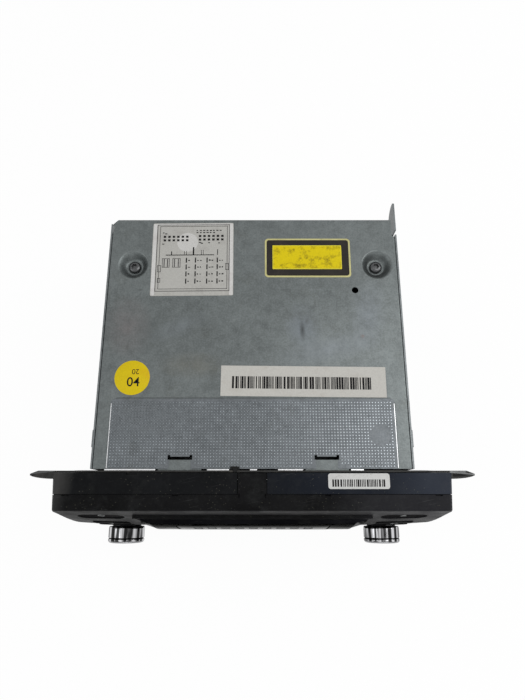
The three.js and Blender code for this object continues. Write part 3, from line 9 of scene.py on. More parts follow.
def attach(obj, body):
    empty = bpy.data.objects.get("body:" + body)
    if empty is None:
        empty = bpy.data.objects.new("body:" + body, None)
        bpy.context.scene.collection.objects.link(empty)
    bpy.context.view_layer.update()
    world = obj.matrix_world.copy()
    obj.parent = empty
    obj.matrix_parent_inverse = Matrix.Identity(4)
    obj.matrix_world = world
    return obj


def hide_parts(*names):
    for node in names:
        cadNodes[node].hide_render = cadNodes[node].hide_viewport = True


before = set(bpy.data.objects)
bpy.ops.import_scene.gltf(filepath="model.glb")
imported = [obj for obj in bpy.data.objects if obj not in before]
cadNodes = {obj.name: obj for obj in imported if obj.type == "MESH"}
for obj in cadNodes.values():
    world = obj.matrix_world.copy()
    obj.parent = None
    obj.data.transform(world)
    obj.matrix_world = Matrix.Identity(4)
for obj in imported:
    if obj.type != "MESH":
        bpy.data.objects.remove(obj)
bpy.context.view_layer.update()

scene = bpy.context.scene

# Shapes are drawn in millimetres from the middle of the cover's front edge, then moved into the shared frame
toFrame = Matrix.Scale(0.001, 4) @ Matrix.Translation((0, -62.5, 0))


def linked(name, data):
    obj = bpy.data.objects.new(name, data)
    scene.collection.objects.link(obj)
    return obj


def meshFrom(bm, name="part"):
    mesh = bpy.data.meshes.new(name)
    bm.to_mesh(mesh)
    bm.free()
    return mesh


# Camera, light and floor
view = {"place": (0.0057, -0.0798, 0.4024), "tilt": 16.04, "lens": 27, "nearest": 0.01}
camera = linked("camera", bpy.data.cameras.new("camera"))
camera.data.lens = view["lens"]
camera.data.clip_start = view["nearest"]
camera.location = view["place"]
camera.rotation_euler = (radians(view["tilt"]), 0, 0)
scene.camera = camera
scene.view_settings.view_transform = "Standard"


def shade(red, green=None, blue=None):
    # screen colour from 0 to 255, as Blender's linear colour
    parts = (red, red if green is None else green, red if blue is None else blue)
    return tuple(((v / 255 + 0.055) / 1.055) ** 2.4 if v > 10 else v / 3294 for v in parts) + (1,)


def toned(colour, share, lift=0.0):
    # a lighter or darker colour of the same hue
    return tuple(min(v * share + lift, 1) for v in colour[:3]) + (1,)


def wire(tree, socket, value):
    if isinstance(value, bpy.types.NodeSocket):
        tree.links.new(value, socket)
    else:
        socket.default_value = value


def put(tree, kind, wires=None, **settings):
    node = tree.nodes.new("ShaderNode" + kind)
    for name, value in settings.items():
        setattr(node, name, value)
    for name, value in (wires or {}).items():
        wire(tree, node.inputs[name], value)
    return node


def calc(tree, operation, first, second):
    return put(tree, "Math", {0: first, 1: second}, operation=operation).outputs[0]


def seenByEye(tree):
    # camera, mirror and glass rays, which show the plain background at its full brightness
    path = put(tree, "LightPath").outputs
    mirrorOrGlass = calc(tree, "MAXIMUM", path["Is Glossy Ray"], path["Is Transmission Ray"])
    return calc(tree, "MAXIMUM", path["Is Camera Ray"], mirrorOrGlass)


def emptied(owner):
    # the node tree of a world or a material, with nothing in it yet
    owner.use_nodes = True
    owner.node_tree.nodes.clear()
    return owner.node_tree


studio = {"fill": 0.54, "floorGlow": 0.96, "floorPaint": 0.92, "floorReach": 6, "floorDrop": 0.0004}
white = (1, 1, 1, 1)
scene.world = bpy.data.worlds.new("studio")
worldTree = emptied(scene.world)
skyLevel = calc(worldTree, "MULTIPLY", seenByEye(worldTree), 1 - studio["fill"])
skyLevel = calc(worldTree, "ADD", skyLevel, studio["fill"])
sky = put(worldTree, "Background", {"Color": white, "Strength": skyLevel})
put(worldTree, "OutputWorld", {"Surface": sky.outputs[0]})


# place, aim, width and length, watts and colour
lamps = {
    "lamp_right": ((0.55, 0.12, 0.78), (0.05, 0, 0.06), (0.44, 0.9), 3.5, (1, 1, 1)),
    "lamp_left": ((-0.8, -0.2, 0.7), (0, 0, 0.06), (0.3, 0.6), 1.2, (0.97, 0.99, 1)),
    "lamp_front": ((0.1, -0.9, 0.35), (0, -0.08, 0.05), (0.8, 0.2), 1.0, (1, 1, 1)),
}
for name, (place, aim, size, watts, colour) in lamps.items():
    lamp = linked(name, bpy.data.lights.new(name, "AREA"))
    lamp.data.shape = "RECTANGLE"
    lamp.data.size, lamp.data.size_y = size
    lamp.data.energy = watts
    lamp.data.color = colour
    lamp.location = place
    lamp.rotation_euler = (Vector(aim) - Vector(place)).to_track_quat("-Z", "Y").to_euler()

floorMaterial = bpy.data.materials.new("plain_floor")
floorTree = emptied(floorMaterial)
floorPaint = put(floorTree, "BsdfDiffuse", {"Color": (*[studio["floorPaint"]] * 3, 1)})
floorGlow = put(floorTree, "Emission", {"Color": white, "Strength": 1.0})
glowShare = calc(floorTree, "MULTIPLY", seenByEye(floorTree), studio["floorGlow"])
floorMix = put(floorTree, "MixShader", {0: glowShare, 1: floorPaint.outputs[0], 2: floorGlow.outputs[0]})
put(floorTree, "OutputMaterial", {"Surface": floorMix.outputs[0]})
floorShape = bmesh.new()
bmesh.ops.create_grid(floorShape, x_segments=1, y_segments=1, size=studio["floorReach"])
bmesh.ops.translate(floorShape, vec=(0, 0, -studio["floorDrop"]), verts=floorShape.verts)
floor = linked("floor", meshFrom(floorShape, "floor"))
floor.data.materials.append(floorMaterial)
print("stage: camera, lamps and floor")


# Finishes
def newFinish(name, sockets):
    material = bpy.data.materials.new(name)
    material.use_nodes = True
    tree = material.node_tree
    shader = tree.nodes["Principled BSDF"]
    for socket, value in sockets.items():
        shader.inputs[socket].default_value = value
    return material, tree, shader, put(tree, "TexCoord").outputs["Object"]


def scaled(tree, place, size, centre=(0, 0, 0), turn=0.0):
    # the place seen from a centre, in units of size, both in millimetres of the cover's own measure
    middle = toFrame @ Vector(centre)
    return put(tree, "Mapping", {"Vector": place, "Location": middle, "Rotation": (0, 0, radians(turn)),
                                 "Scale": tuple(v * 0.001 for v in size)}, vector_type="TEXTURE").outputs[0]


def noise(tree, place, size, detail=3.0, roughness=0.5):
    # size is the width of a cloud in millimetres
    return put(tree, "TexNoise", {"Vector": place, "Scale": 1000 / size, "Detail": detail,
                                  "Roughness": roughness}).outputs[0]


def cells(tree, place, size, output="Distance"):
    return put(tree, "TexVoronoi", {"Vector": place, "Scale": 1000 / size}).outputs[output]


def ranged(tree, value, low, high, outLow=0.0, outHigh=1.0):
    return put(tree, "MapRange", {"Value": value, "From Min": low, "From Max": high,
                                  "To Min": outLow, "To Max": outHigh}).outputs["Result"]


def blended(tree, amount, first, second):
    # 0, 6, 7 and 2 are the factor, the two colours and the result of a colour mix
    return put(tree, "Mix", {0: amount, 6: first, 7: second}, data_type="RGBA").outputs[2]


def laid(tree, paint, colour, mask, share):
    # paint with a second colour over it where the mask is bright
    return blended(tree, calc(tree, "MULTIPLY", mask, share), paint, colour)


def summed(tree, *parts):
    # values added up, each times its share
    total = 0.0
    for value, share in parts:
        total = calc(tree, "ADD", total, calc(tree, "MULTIPLY", value, share))
    return total


def dressed(tree, shader, paint, gloss):
    wire(tree, shader.inputs["Base Color"], paint)
    wire(tree, shader.inputs["Roughness"], gloss)


def bumped(tree, shader, height, depth, strength=1.0):
    # depth in millimetres
    relief = put(tree, "Bump", {"Height": height, "Distance": depth * 0.001, "Strength": strength})
    tree.links.new(relief.outputs[0], shader.inputs["Normal"])


def spot(tree, place, centre, size, turn=0.0, edge=0.25):
    # a soft oval mask that is 1 at its centre
    near = put(tree, "TexGradient", {"Vector": scaled(tree, place, size, centre, turn)},
               gradient_type="SPHERICAL").outputs[1]
    return ranged(tree, near, 0.0, edge)


def scratches(tree, place, length, width, turn, amount):
    # thin marks in one direction; a larger amount gives more of them
    along = put(tree, "Mapping", {"Vector": place, "Rotation": (0, 0, radians(turn)),
                                  "Scale": (length * 0.001, width * 0.001, length * 0.001)},
                vector_type="TEXTURE").outputs[0]
    field = put(tree, "TexNoise", {"Vector": along, "Scale": 1.0, "Detail": 2.0, "Roughness": 0.4}).outputs[0]
    return ranged(tree, field, 0.72 - amount, 0.76 - amount)


def specks(tree, place, size, radius):
    # small round dots, one in some of the cells
    dot = ranged(tree, cells(tree, place, size), radius, radius * 0.5)
    some = ranged(tree, noise(tree, place, size * 5, 1.0), 0.5, 0.56)
    return calc(tree, "MULTIPLY", dot, some)


def sheetFinish(name, colour, tint, roughness=0.42, metallic=0.85, crystals=0.1, marks=()):
    # zinc or tin plate: cloudy tone, crystals a few millimetres wide, rolling lines, scratches and stains
    material, tree, shader, place = newFinish(name, {"Metallic": metallic})
    swirl = put(tree, "TexNoise", {"Vector": place, "Scale": 240.0}).outputs[1]
    drift = put(tree, "VectorMath", {0: swirl, "Scale": 0.0016}, operation="SCALE").outputs[0]
    wander = put(tree, "VectorMath", {0: place, 1: drift}, operation="ADD").outputs[0]
    crystal = put(tree, "SeparateColor", {0: cells(tree, wander, 3.4, "Color")}).outputs[0]
    clouds = noise(tree, place, 38, 4.0, 0.6)
    mottle = noise(tree, place, 5.5, 3.0, 0.65)
    lines = noise(tree, scaled(tree, place, (0.7, 45, 45)), 1000, 2.0)
    tone = summed(tree, (crystal, crystals), (clouds, 0.45), (mottle, 0.4), (lines, 0.12))
    light, dark = toned(colour, 1.32), toned(colour, 0.66)
    paint = blended(tree, ranged(tree, tone, 0.3, 0.75), dark, light)
    paint = blended(tree, ranged(tree, noise(tree, place, 16, 5.0, 0.7), 0.56, 0.72, 0, 0.5), paint, tint)
    fleck = noise(tree, place, 1.1, 3.0, 0.8)
    paint = blended(tree, ranged(tree, fleck, 0.5, 0.68, 0, 0.55), paint, light)
    paint = blended(tree, ranged(tree, fleck, 0.5, 0.34, 0, 0.5), paint, dark)
    worn = calc(tree, "MAXIMUM", scratches(tree, place, 26, 0.5, 24, 0.03),
                scratches(tree, place, 18, 0.4, -52, 0.02))
    paint = laid(tree, paint, light, worn, 0.32)
    paint = laid(tree, paint, tint, specks(tree, place, 4.5, 0.12), 0.55)
    # listed patches, each softened by the mottle: on the cover these are stains, on the dots painted highlight and
    # painted shade
    for centre, size, turn, markColour, amount in marks:
        soft = spot(tree, place, centre, size, turn, 0.9 if size[0] > 1.4 else 0.25)
        soft = calc(tree, "MULTIPLY", soft, ranged(tree, mottle, 0.3, 0.6, 0.5, 1.0))
        paint = laid(tree, paint, markColour, soft, amount)
    gloss = summed(tree, (clouds, 0.2), (worn, -0.06))
    dressed(tree, shader, paint, calc(tree, "ADD", gloss, roughness - 0.1))
    bumped(tree, shader, summed(tree, (noise(tree, place, 0.5, 2.0), 1), (lines, 0.6)), 0.02, 0.45)
    return material


def plasticFinish(name, colour, roughness=0.5, grain=0.02, dust=0.35, specular=0.12, paintedSheens=(),
                  film=shade(112, 110, 98), edgeTint=None, motesShare=0.5):
    # moulded plastic: fine spark grain, rubbed smudges, pale dust specks, and painted sheen where patches are given
    material, tree, shader, place = newFinish(name, {"Specular IOR Level": specular})
    if edgeTint is not None:
        # piano black: a dark mirror that stays dark at a low angle too
        shader.inputs["Metallic"].default_value = 1.0
        shader.inputs["Specular Tint"].default_value = (edgeTint, edgeTint, edgeTint, 1)
    clouds = noise(tree, place, 22, 4.0, 0.6)
    paint = blended(tree, ranged(tree, clouds, 0.32, 0.7), toned(colour, 0.72), toned(colour, 1.45, 0.002))
    # painted sheen: soft lighter patches that stand in for reflections and highlights
    for centre, size, sheenColour, amount in paintedSheens:
        paint = laid(tree, paint, sheenColour, spot(tree, place, centre, size, 0, 0.7), amount)
    paint = laid(tree, paint, film, ranged(tree, noise(tree, place, 9, 6.0, 0.75), 0.5, 0.8), dust * 0.3)
    paint = laid(tree, paint, film, ranged(tree, noise(tree, place, 0.9, 3.0, 0.8), 0.56, 0.7), dust * 0.16)
    paint = laid(tree, paint, film, specks(tree, place, 2.6, 0.1), dust * 0.8)
    paint = laid(tree, paint, shade(140, 139, 122), specks(tree, place, 1.7, 0.16), dust * motesShare)
    paint = laid(tree, paint, shade(120), scratches(tree, place, 14, 0.3, 12, 0.01), dust * 0.3)
    smudge = ranged(tree, noise(tree, place, 13, 3.0, 0.55), 0.35, 0.7, roughness - 0.08, roughness + 0.1)
    dressed(tree, shader, paint, smudge)
    bumped(tree, shader, noise(tree, place, 0.28, 2.0), grain, 0.7)
    return material


def paperFinish(name, colour, stain, stainShare=0.35, roughness=0.6, stainSize=11):
    # label stock: fibres, a faint yellow cast, rubbed dirt
    material, tree, shader, place = newFinish(name, {"Specular IOR Level": 0.2})
    fibres = noise(tree, place, 0.9, 4.0, 0.7)
    paint = blended(tree, ranged(tree, fibres, 0.3, 0.7), toned(colour, 0.86), colour)
    dirt = ranged(tree, noise(tree, place, stainSize, 6.0, 0.72), 0.5, 0.74, 0, stainShare)
    paint = blended(tree, dirt, paint, stain)
    paint = laid(tree, paint, stain, specks(tree, place, 3.2, 0.12), 0.5)
    paint = laid(tree, paint, stain, scratches(tree, place, 9, 0.25, 30, 0.02), 0.4)
    dressed(tree, shader, paint, ranged(tree, fibres, 0.3, 0.7, roughness - 0.06, roughness + 0.08))
    bumped(tree, shader, calc(tree, "ADD", fibres, noise(tree, place, 14, 2.0)), 0.03, 0.5)
    return material


def inkFinish(name, colour, specular=0.1):
    # printed ink that is a little broken up
    material, tree, shader, place = newFinish(name, {"Specular IOR Level": specular})
    broken = ranged(tree, noise(tree, place, 1.6, 4.0, 0.7), 0.42, 0.72)
    dressed(tree, shader, blended(tree, broken, colour, toned(colour, 1.5, 0.008)),
            ranged(tree, noise(tree, place, 5), 0.3, 0.7, 0.45, 0.62))
    return material


def brightFinish(name, colour, roughness, lineWay=(1, 1, 1), lineShare=0.25, lineRange=(0.35, 0.65)):
    # plated or turned metal: fine lines along one way, finger marks in the gloss
    material, tree, shader, place = newFinish(name, {"Metallic": 1.0})
    lines = noise(tree, scaled(tree, place, lineWay), 1000, 3.0)
    marks = noise(tree, place, 7, 4.0, 0.6)
    paint = blended(tree, ranged(tree, lines, *lineRange), toned(colour, 1 - lineShare), colour)
    paint = laid(tree, paint, shade(70, 66, 60), specks(tree, place, 2.2, 0.1), 0.5)
    dressed(tree, shader, paint, ranged(tree, marks, 0.35, 0.72, roughness * 0.75, roughness * 1.5))
    bumped(tree, shader, lines, 0.004, 0.35)
    return material


def boardFinish(name, colour):
    # circuit board: tracks under lacquer, small tinned pads
    material, tree, shader, place = newFinish(name, {"Coat Weight": 0.5, "Coat Roughness": 0.2})
    tracks = put(tree, "TexVoronoi", {"Vector": place, "Scale": 420.0}, distance="MANHATTAN").outputs["Distance"]
    track = ranged(tree, calc(tree, "PINGPONG", tracks, 0.22), 0.1, 0.13)
    paint = blended(tree, track, toned(colour, 0.6), toned(colour, 1.35))
    paint = blended(tree, specks(tree, place, 2.1, 0.2), paint, shade(186, 184, 172))
    dressed(tree, shader, paint, ranged(tree, noise(tree, place, 8), 0.3, 0.7, 0.35, 0.55))
    bumped(tree, shader, track, 0.03, 0.5)
    return material


zincMarks = [
    ((-69.5, 108, 101), (2.4, 0.7, 2), 4, shade(70, 72, 72), 0.7),
    ((-30, 88, 101), (16, 5, 4), -20, shade(84, 88, 88), 0.35),
    ((30, 84, 101), (12, 16, 6), 10, shade(112, 119, 127), 0.5),
    ((45, 70, 101), (34, 9, 6), 12, shade(124, 130, 136), 0.4),
    ((-62, 80, 101), (9, 16, 6), 10, shade(82, 86, 86), 0.4),
    ((-45, 84, 101), (22, 7, 6), 24, shade(112, 118, 122), 0.4),
    ((70, 92, 101), (12, 26, 6), -8, shade(122, 128, 136), 0.3),
    ((-6, 84, 101), (6, 1.6, 4), 40, shade(80, 84, 82), 0.4),
    ((66, 78, 101), (1.6, 1.6, 3), 0, shade(110, 84, 80), 0.5),
    ((-76, 84, 101), (16, 22, 6), 0, shade(112, 104, 104), 0.45),
    ((-36, 60, 101), (22, 9, 6), 0, shade(110, 108, 98), 0.45),
    ((29.8, 82, 101), (2.2, 8, 2), 4, shade(54, 55, 54), 0.85),
    ((32.4, 87, 101), (1.9, 5, 2), -14, shade(72, 74, 74), 0.5),
]
# painted light on the dots: lighter towards the right and the front as painted highlight, darker at the left as painted
# shade
dotPaintedLight = [
    ((84, 12, 101), (66, 60, 30), 0, shade(192, 198, 204), 0.7),
    ((20, 2, 101), (120, 24, 20), 0, shade(172, 178, 182), 0.55),
    ((-66, 32, 101), (40, 22, 20), 0, shade(98, 102, 103), 0.85),
]
zincSteel = sheetFinish("zinc_steel", shade(99, 104, 104), shade(80, 82, 78), 0.44, 0.85, 0.09, zincMarks)
panelZinc = sheetFinish("zinc_panel", shade(98, 102, 105), shade(80, 82, 80), 0.46, 0.85, 0.08)
dotZinc = sheetFinish("zinc_dots", shade(138, 144, 148), shade(104, 108, 108), 0.36, 0.9, 0.3, dotPaintedLight)
dullSteel = sheetFinish("dull_steel", shade(108, 112, 113), shade(84, 82, 76), 0.46, 0.88, 0.14)
plateSteel = sheetFinish("plate_steel", shade(36, 36, 35), shade(84, 80, 74), 0.5, 0.7, 0.4)
# lighter steel for the strips on the ear lips, a painted highlight
rimHighlightSteel = sheetFinish("ear_highlight_steel", shade(84, 85, 85), shade(60, 58, 56), 0.44, 0.85, 0.2)
# near-white steel for thin strips that are painted highlight
highlightSteel = brightFinish("painted_highlight_steel", shade(230, 231, 232), 0.3, (2, 0.5, 1), 0.2)
brightSteel = brightFinish("bright_steel", shade(142, 143, 144), 0.24, (1, 0.25, 1), 0.3)
bareAluminium = brightFinish("bare_aluminium", shade(148, 151, 153), 0.42, (0.3, 0.3, 30), 0.22)
# the knob's chrome: streaks along its axis, from nearly black to near white, are painted reflection
chromePaintedStreaks = brightFinish("chrome_plate", shade(205, 205, 207), 0.1, (2.6, 60, 2.6), 0.97, (0.47, 0.62))
screwSteel = brightFinish("screw_steel", shade(92, 93, 94), 0.28, (1, 0.25, 1), 0.4)
chromeFace = brightFinish("chrome_face", shade(150, 150, 152), 0.2, (0.5, 0.5, 0.5), 0.35)
brass = brightFinish("brass_contact", shade(186, 158, 96), 0.3, (0.4, 12, 0.4), 0.2)
# painted sheen on the bezel: lighter, bluish patches towards the right stand for the sky's reflection, and a lighter
# band on the left corner is a painted highlight
bezelPaintedSheens = [
    ((60, -7, 104), (70, 40, 30), shade(30, 37, 50), 0.4),
    ((108, -7, 104), (36, 40, 60), shade(56, 61, 72), 0.6),
    ((-110.5, -7, 103), (12, 30, 60), shade(72, 71, 70), 0.6),
]
# painted sheen on the face: lighter towards the right, and a painted highlight on its left corner
facePaintedSheens = [
    ((96, -19, 104), (60, 40, 40), shade(48, 48, 52), 0.5),
    ((-111, -16, 100), (9, 20, 40), shade(60, 60, 60), 0.5),
]
bezelPlastic = plasticFinish("bezel_plastic", shade(11, 12, 14), 0.42, 0.02, 0.32, 0.06, bezelPaintedSheens,
                             shade(92, 93, 90), motesShare=0.8)
facePlastic = plasticFinish("face_plastic", shade(11, 11, 12), 0.5, 0.04, 0.45, 0.05, facePaintedSheens,
                            shade(86, 88, 88), motesShare=0.45)
glossPlastic = plasticFinish("gloss_plastic", shade(9, 9, 12), 0.2, 0.004, 0.1, 0.05, edgeTint=0.0)
keyPlastic = plasticFinish("key_plastic", shade(9, 9, 11), 0.6, 0.025, 0.2, 0.005)
connectorPlastic = plasticFinish("connector_plastic", shade(26, 27, 28), 0.5, 0.03, 0.25, 0.2)
socketPlastic = plasticFinish("socket_plastic", shade(40, 72, 124), 0.42, 0.02, 0.2, 0.3)
fusePlastic = plasticFinish("fuse_plastic", shade(148, 72, 30), 0.25, 0.01, 0.15, 0.4)
chipPlastic = plasticFinish("chip_plastic", shade(22, 22, 22), 0.55, 0.03, 0.15)
gearPlastic = plasticFinish("gear_plastic", shade(214, 211, 200), 0.42, 0.01, 0.12, 0.4)
rubber = plasticFinish("rubber", shade(22, 22, 23), 0.72, 0.05, 0.2)
felt = plasticFinish("felt", shade(16, 16, 18), 0.92, 0.12, 0.2, 0.05)
displayGrey = plasticFinish("display_glass", shade(40, 45, 46), 0.3, 0.001, 0.02)
greenBoard = boardFinish("green_board", shade(32, 84, 56))
wiringPaper = paperFinish("wiring_paper", shade(184, 183, 178), shade(146, 142, 138), 0.6)
blotPaper = paperFinish("blot_paper", shade(204, 203, 200), shade(182, 180, 176), 0.8)
marginPaper = paperFinish("margin_paper", shade(212, 211, 209), shade(170, 160, 158), 0.5)
whitePaper = paperFinish("white_paper", shade(198, 196, 190), shade(168, 160, 150), 0.45)
bezelPaper = paperFinish("bezel_paper", shade(208, 208, 206), shade(120, 118, 112), 0.3, 0.45)
creamPaper = paperFinish("cream_paper", shade(204, 198, 140), shade(128, 120, 72), 0.5)
yellowFilm = paperFinish("yellow_film", shade(224, 202, 2), shade(92, 76, 8), 1.0, 0.45, 5)
yellowDot = paperFinish("yellow_sticker", shade(220, 194, 12), shade(206, 160, 14), 0.6, 0.45)
darkBand = paperFinish("dark_band", shade(34, 30, 26), shade(66, 58, 52), 0.5, 0.45)
yellowLine = paperFinish("yellow_line", shade(226, 212, 60), shade(170, 150, 40), 0.4)
blackInk = inkFinish("black_ink", shade(16, 15, 16))
greyInk = inkFinish("grey_ink", shade(70, 68, 68))
whiteInk = inkFinish("white_ink", shade(132, 134, 134), 0.0)
ghostInk = inkFinish("ghost_ink", shade(27, 30, 30))


def glassFinish(name, sockets, low, high, cloud, smear, gloss):
    # cloudy glass: the colours of its two tones, the sizes of its clouds and of the smears in its gloss
    material, tree, shader, place = newFinish(name, sockets)
    dressed(tree, shader, blended(tree, ranged(tree, noise(tree, place, cloud), 0.3, 0.7), low, high),
            ranged(tree, noise(tree, place, smear), *gloss))
    return material


lensGlass = glassFinish("lens_glass", {"Transmission Weight": 0.8, "IOR": 1.5}, shade(150, 176, 190),
                        shade(196, 206, 214), 2, 3, (0.3, 0.7, 0.03, 0.09))
paneGlass = glassFinish("smoked_pane", {"Metallic": 1.0, "Specular Tint": (0.03, 0.03, 0.03, 1)}, shade(10, 11, 13),
                        shade(18, 19, 22), 18, 12, (0.4, 0.7, 0.1, 0.16))
print("finishes made")


# Shape tools
def shifted(bm, place):
    bmesh.ops.translate(bm, vec=place, verts=bm.verts)
    return bm


def rotated(bm, degrees, axis="Z", centre=(0, 0, 0)):
    bmesh.ops.rotate(bm, cent=centre, matrix=Matrix.Rotation(radians(degrees), 3, axis), verts=bm.verts)
    return bm


def turned(bm, axis, centre=(0, 0, 0)):
    # from standing along Z to standing along X, along Z, or along Y towards the front
    if axis < 2:
        rotated(bm, 90, "YX"[axis])
    return shifted(bm, centre)


def block(x0, x1, y0, y1, z0, z1):
    bm = bmesh.new()
    bmesh.ops.create_cube(bm, size=1)
    bmesh.ops.scale(bm, vec=(x1 - x0, y1 - y0, z1 - z0), verts=bm.verts)
    return shifted(bm, ((x0 + x1) / 2, (y0 + y1) / 2, (z0 + z1) / 2))


def frontBox(x, z, width, height, y0, y1):
    # a box from its middle and its size as seen from the front
    return (x - width / 2, x + width / 2, y0, y1, z - height / 2, z + height / 2)


def onSide(side, inner, outer):
    # the low and the high x of a stretch on the left, side -1, or on the right, side 1
    return sorted((side * inner, side * outer))


def alongAxis(edge, axis):
    way = edge.verts[1].co - edge.verts[0].co
    return way.length > 0 and abs(way[axis]) > 0.999 * way.length


def edgesWhere(bm, inside):
    return [e for e in bm.edges if all(inside(v.co) for v in e.verts)]


def bevelled(bm, edges, width, steps):
    bmesh.ops.bevel(bm, geom=edges, offset=width, segments=steps, profile=0.5, affect="EDGES", material=-1,
                    clamp_overlap=True)
    return bm


def plate(box, axis=2, corner=0.0, edge=0.0, cornerSteps=5, edgeSteps=2):
    # a block with its corners rounded about one axis, and its two rims eased
    bm = block(*box)
    if corner:
        bevelled(bm, [e for e in bm.edges if alongAxis(e, axis)], corner, cornerSteps)
    if edge:
        bevelled(bm, [e for e in bm.edges if not alongAxis(e, axis)], edge, edgeSteps)
    return bm


def rod(radius, start, end, centre=(0, 0, 0), axis=2, steps=24, edge=0.0, tip=None):
    bm = bmesh.new()
    bmesh.ops.create_cone(bm, cap_ends=True, segments=steps, radius1=radius, radius2=radius if tip is None else tip,
                          depth=end - start)
    shifted(bm, (0, 0, (start + end) / 2))
    if edge:
        bevelled(bm, [e for e in bm.edges if any(len(f.verts) > 4 for f in e.link_faces)], edge, 2)
    return turned(bm, axis, centre)


def spun(profile, steps=48, closed=False):
    # a turned shape from its outline of radius and height, once round
    bm = bmesh.new()
    verts = [bm.verts.new((radius, 0, height)) for radius, height in profile]
    edges = [bm.edges.new(pair) for pair in zip(verts, verts[1:])]
    if closed:
        edges.append(bm.edges.new((verts[-1], verts[0])))
    bmesh.ops.spin(bm, geom=verts + edges, cent=(0, 0, 0), axis=(0, 0, 1), angle=2 * pi, steps=steps, use_merge=True)
    bmesh.ops.remove_doubles(bm, verts=bm.verts, dist=0.0005)
    bmesh.ops.recalc_face_normals(bm, faces=bm.faces)
    return bm


def hollowed(bm, isOpen, wall):
    # bent sheet: the faces whose normal passes the test go, and the rest gets its wall
    bmesh.ops.delete(bm, geom=[f for f in bm.faces if isOpen(f.normal)], context="FACES")
    bmesh.ops.solidify(bm, geom=bm.faces[:], thickness=wall)
    bmesh.ops.recalc_face_normals(bm, faces=bm.faces)
    return bm


def gathered(*shapes):
    whole = bmesh.new()
    for shape in shapes:
        mesh = meshFrom(shape)
        whole.from_mesh(mesh)
        bpy.data.meshes.remove(mesh)
    return whole


def copies(makeOne, places):
    return gathered(*[makeOne(*place) for place in places])


def dropped(obj):
    data = obj.data
    bpy.data.objects.remove(obj)
    (bpy.data.meshes if isinstance(data, bpy.types.Mesh) else bpy.data.curves).remove(data)


def applied(obj):
    # the shape of a working object with its modifiers, and the object goes
    mesh = bpy.data.meshes.new_from_object(obj.evaluated_get(bpy.context.evaluated_depsgraph_get()))
    bm = bmesh.new()
    bm.from_mesh(mesh)
    bpy.data.meshes.remove(mesh)
    dropped(obj)
    return bm


def combined(base, others, operation="DIFFERENCE"):
    # joins to the base or cuts from it
    target, tool = linked("part", meshFrom(base)), linked("part", meshFrom(gathered(*others)))
    cut = target.modifiers.new("cut", "BOOLEAN")
    cut.operation = operation
    cut.solver = "EXACT"
    cut.use_self = True
    cut.object = tool
    bm = applied(target)
    dropped(tool)
    bmesh.ops.remove_doubles(bm, verts=bm.verts, dist=0.002)
    bmesh.ops.dissolve_degenerate(bm, edges=bm.edges, dist=0.002)
    return bm


def piece(name, bm, material, body="root", nodes=(), smooth=35, even=True):
    bmesh.ops.transform(bm, matrix=toFrame, verts=bm.verts)
    mesh = meshFrom(bm, name)
    mesh.shade_smooth()
    mesh.set_sharp_from_angle(angle=radians(smooth))
    obj = linked(name, mesh)
    for finish in material if isinstance(material, list) else [material]:
        mesh.materials.append(finish)
    if even:
        obj.modifiers.new("even shading", "WEIGHTED_NORMAL").keep_sharp = True
    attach(obj, body)
    if nodes:
        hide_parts(*nodes)


# Top cover
cover = {"half": 90.0, "depth": 156.6, "top": 101, "wall": 1, "lip": 10, "rearLip": 5, "bend": 0.8,
         "dimples": (-75.2, 77.4), "dimpleY": 125, "dimpleRim": 9.9, "dimpleFloor": 4.8, "dimpleDepth": 5,
         "screwHole": 1.9, "hole": (62.9, 107.8, 2.05), "tabs": (-40.85, 42.0), "tabHalf": 6.15, "notch": 5,
         "ear": 0.8, "slot": 1.7}
panel = {"half": 82.5, "depth": 40, "rise": 0.45, "corner": 3.2, "bend": 0.36, "pitch": 1.72, "dot": 0.56,
         "dotTop": 0.3, "dotRise": 0.32, "margin": 2.2, "firstRow": 1.4, "patch": (73.1, 18.8, 6.2),
         "bareNotch": (7.65, 7.6), "bareShoulder": (12.7, 2.2), "lineInset": 0.55, "lineHalf": 0.2}


def coverShell():
    # the skin and its folded edges, bent from one sheet
    half, top = cover["half"], cover["top"]
    bm = block(-half, half, -2, cover["depth"], top - cover["lip"], top)
    roof = [e for e in edgesWhere(bm, lambda co: co.z > top - 0.1) if not all(v.co.y < 0 for v in e.verts)]
    bevelled(bm, roof, cover["bend"], 4)
    return hollowed(bm, lambda normal: normal.z < -0.9 or normal.y < -0.9, cover["wall"])


def dimpleBowl(x):
    # the smooth hollow pressed round a screw, as a cutter that opens upwards
    rim, base, deep, top = cover["dimpleRim"], cover["dimpleFloor"], cover["dimpleDepth"], cover["top"]
    steps = 10
    profile = [(0, top - deep)]
    for i in range(steps + 1):
        share = i / steps
        ease = share * share * (3 - 2 * share)
        profile.append((base + (rim - base) * share, top - deep + (deep + 0.004) * ease))
    profile += [(rim + 0.1, top + 2), (0, top + 2)]
    return shifted(spun(profile, 56), (x, cover["dimpleY"], 0))


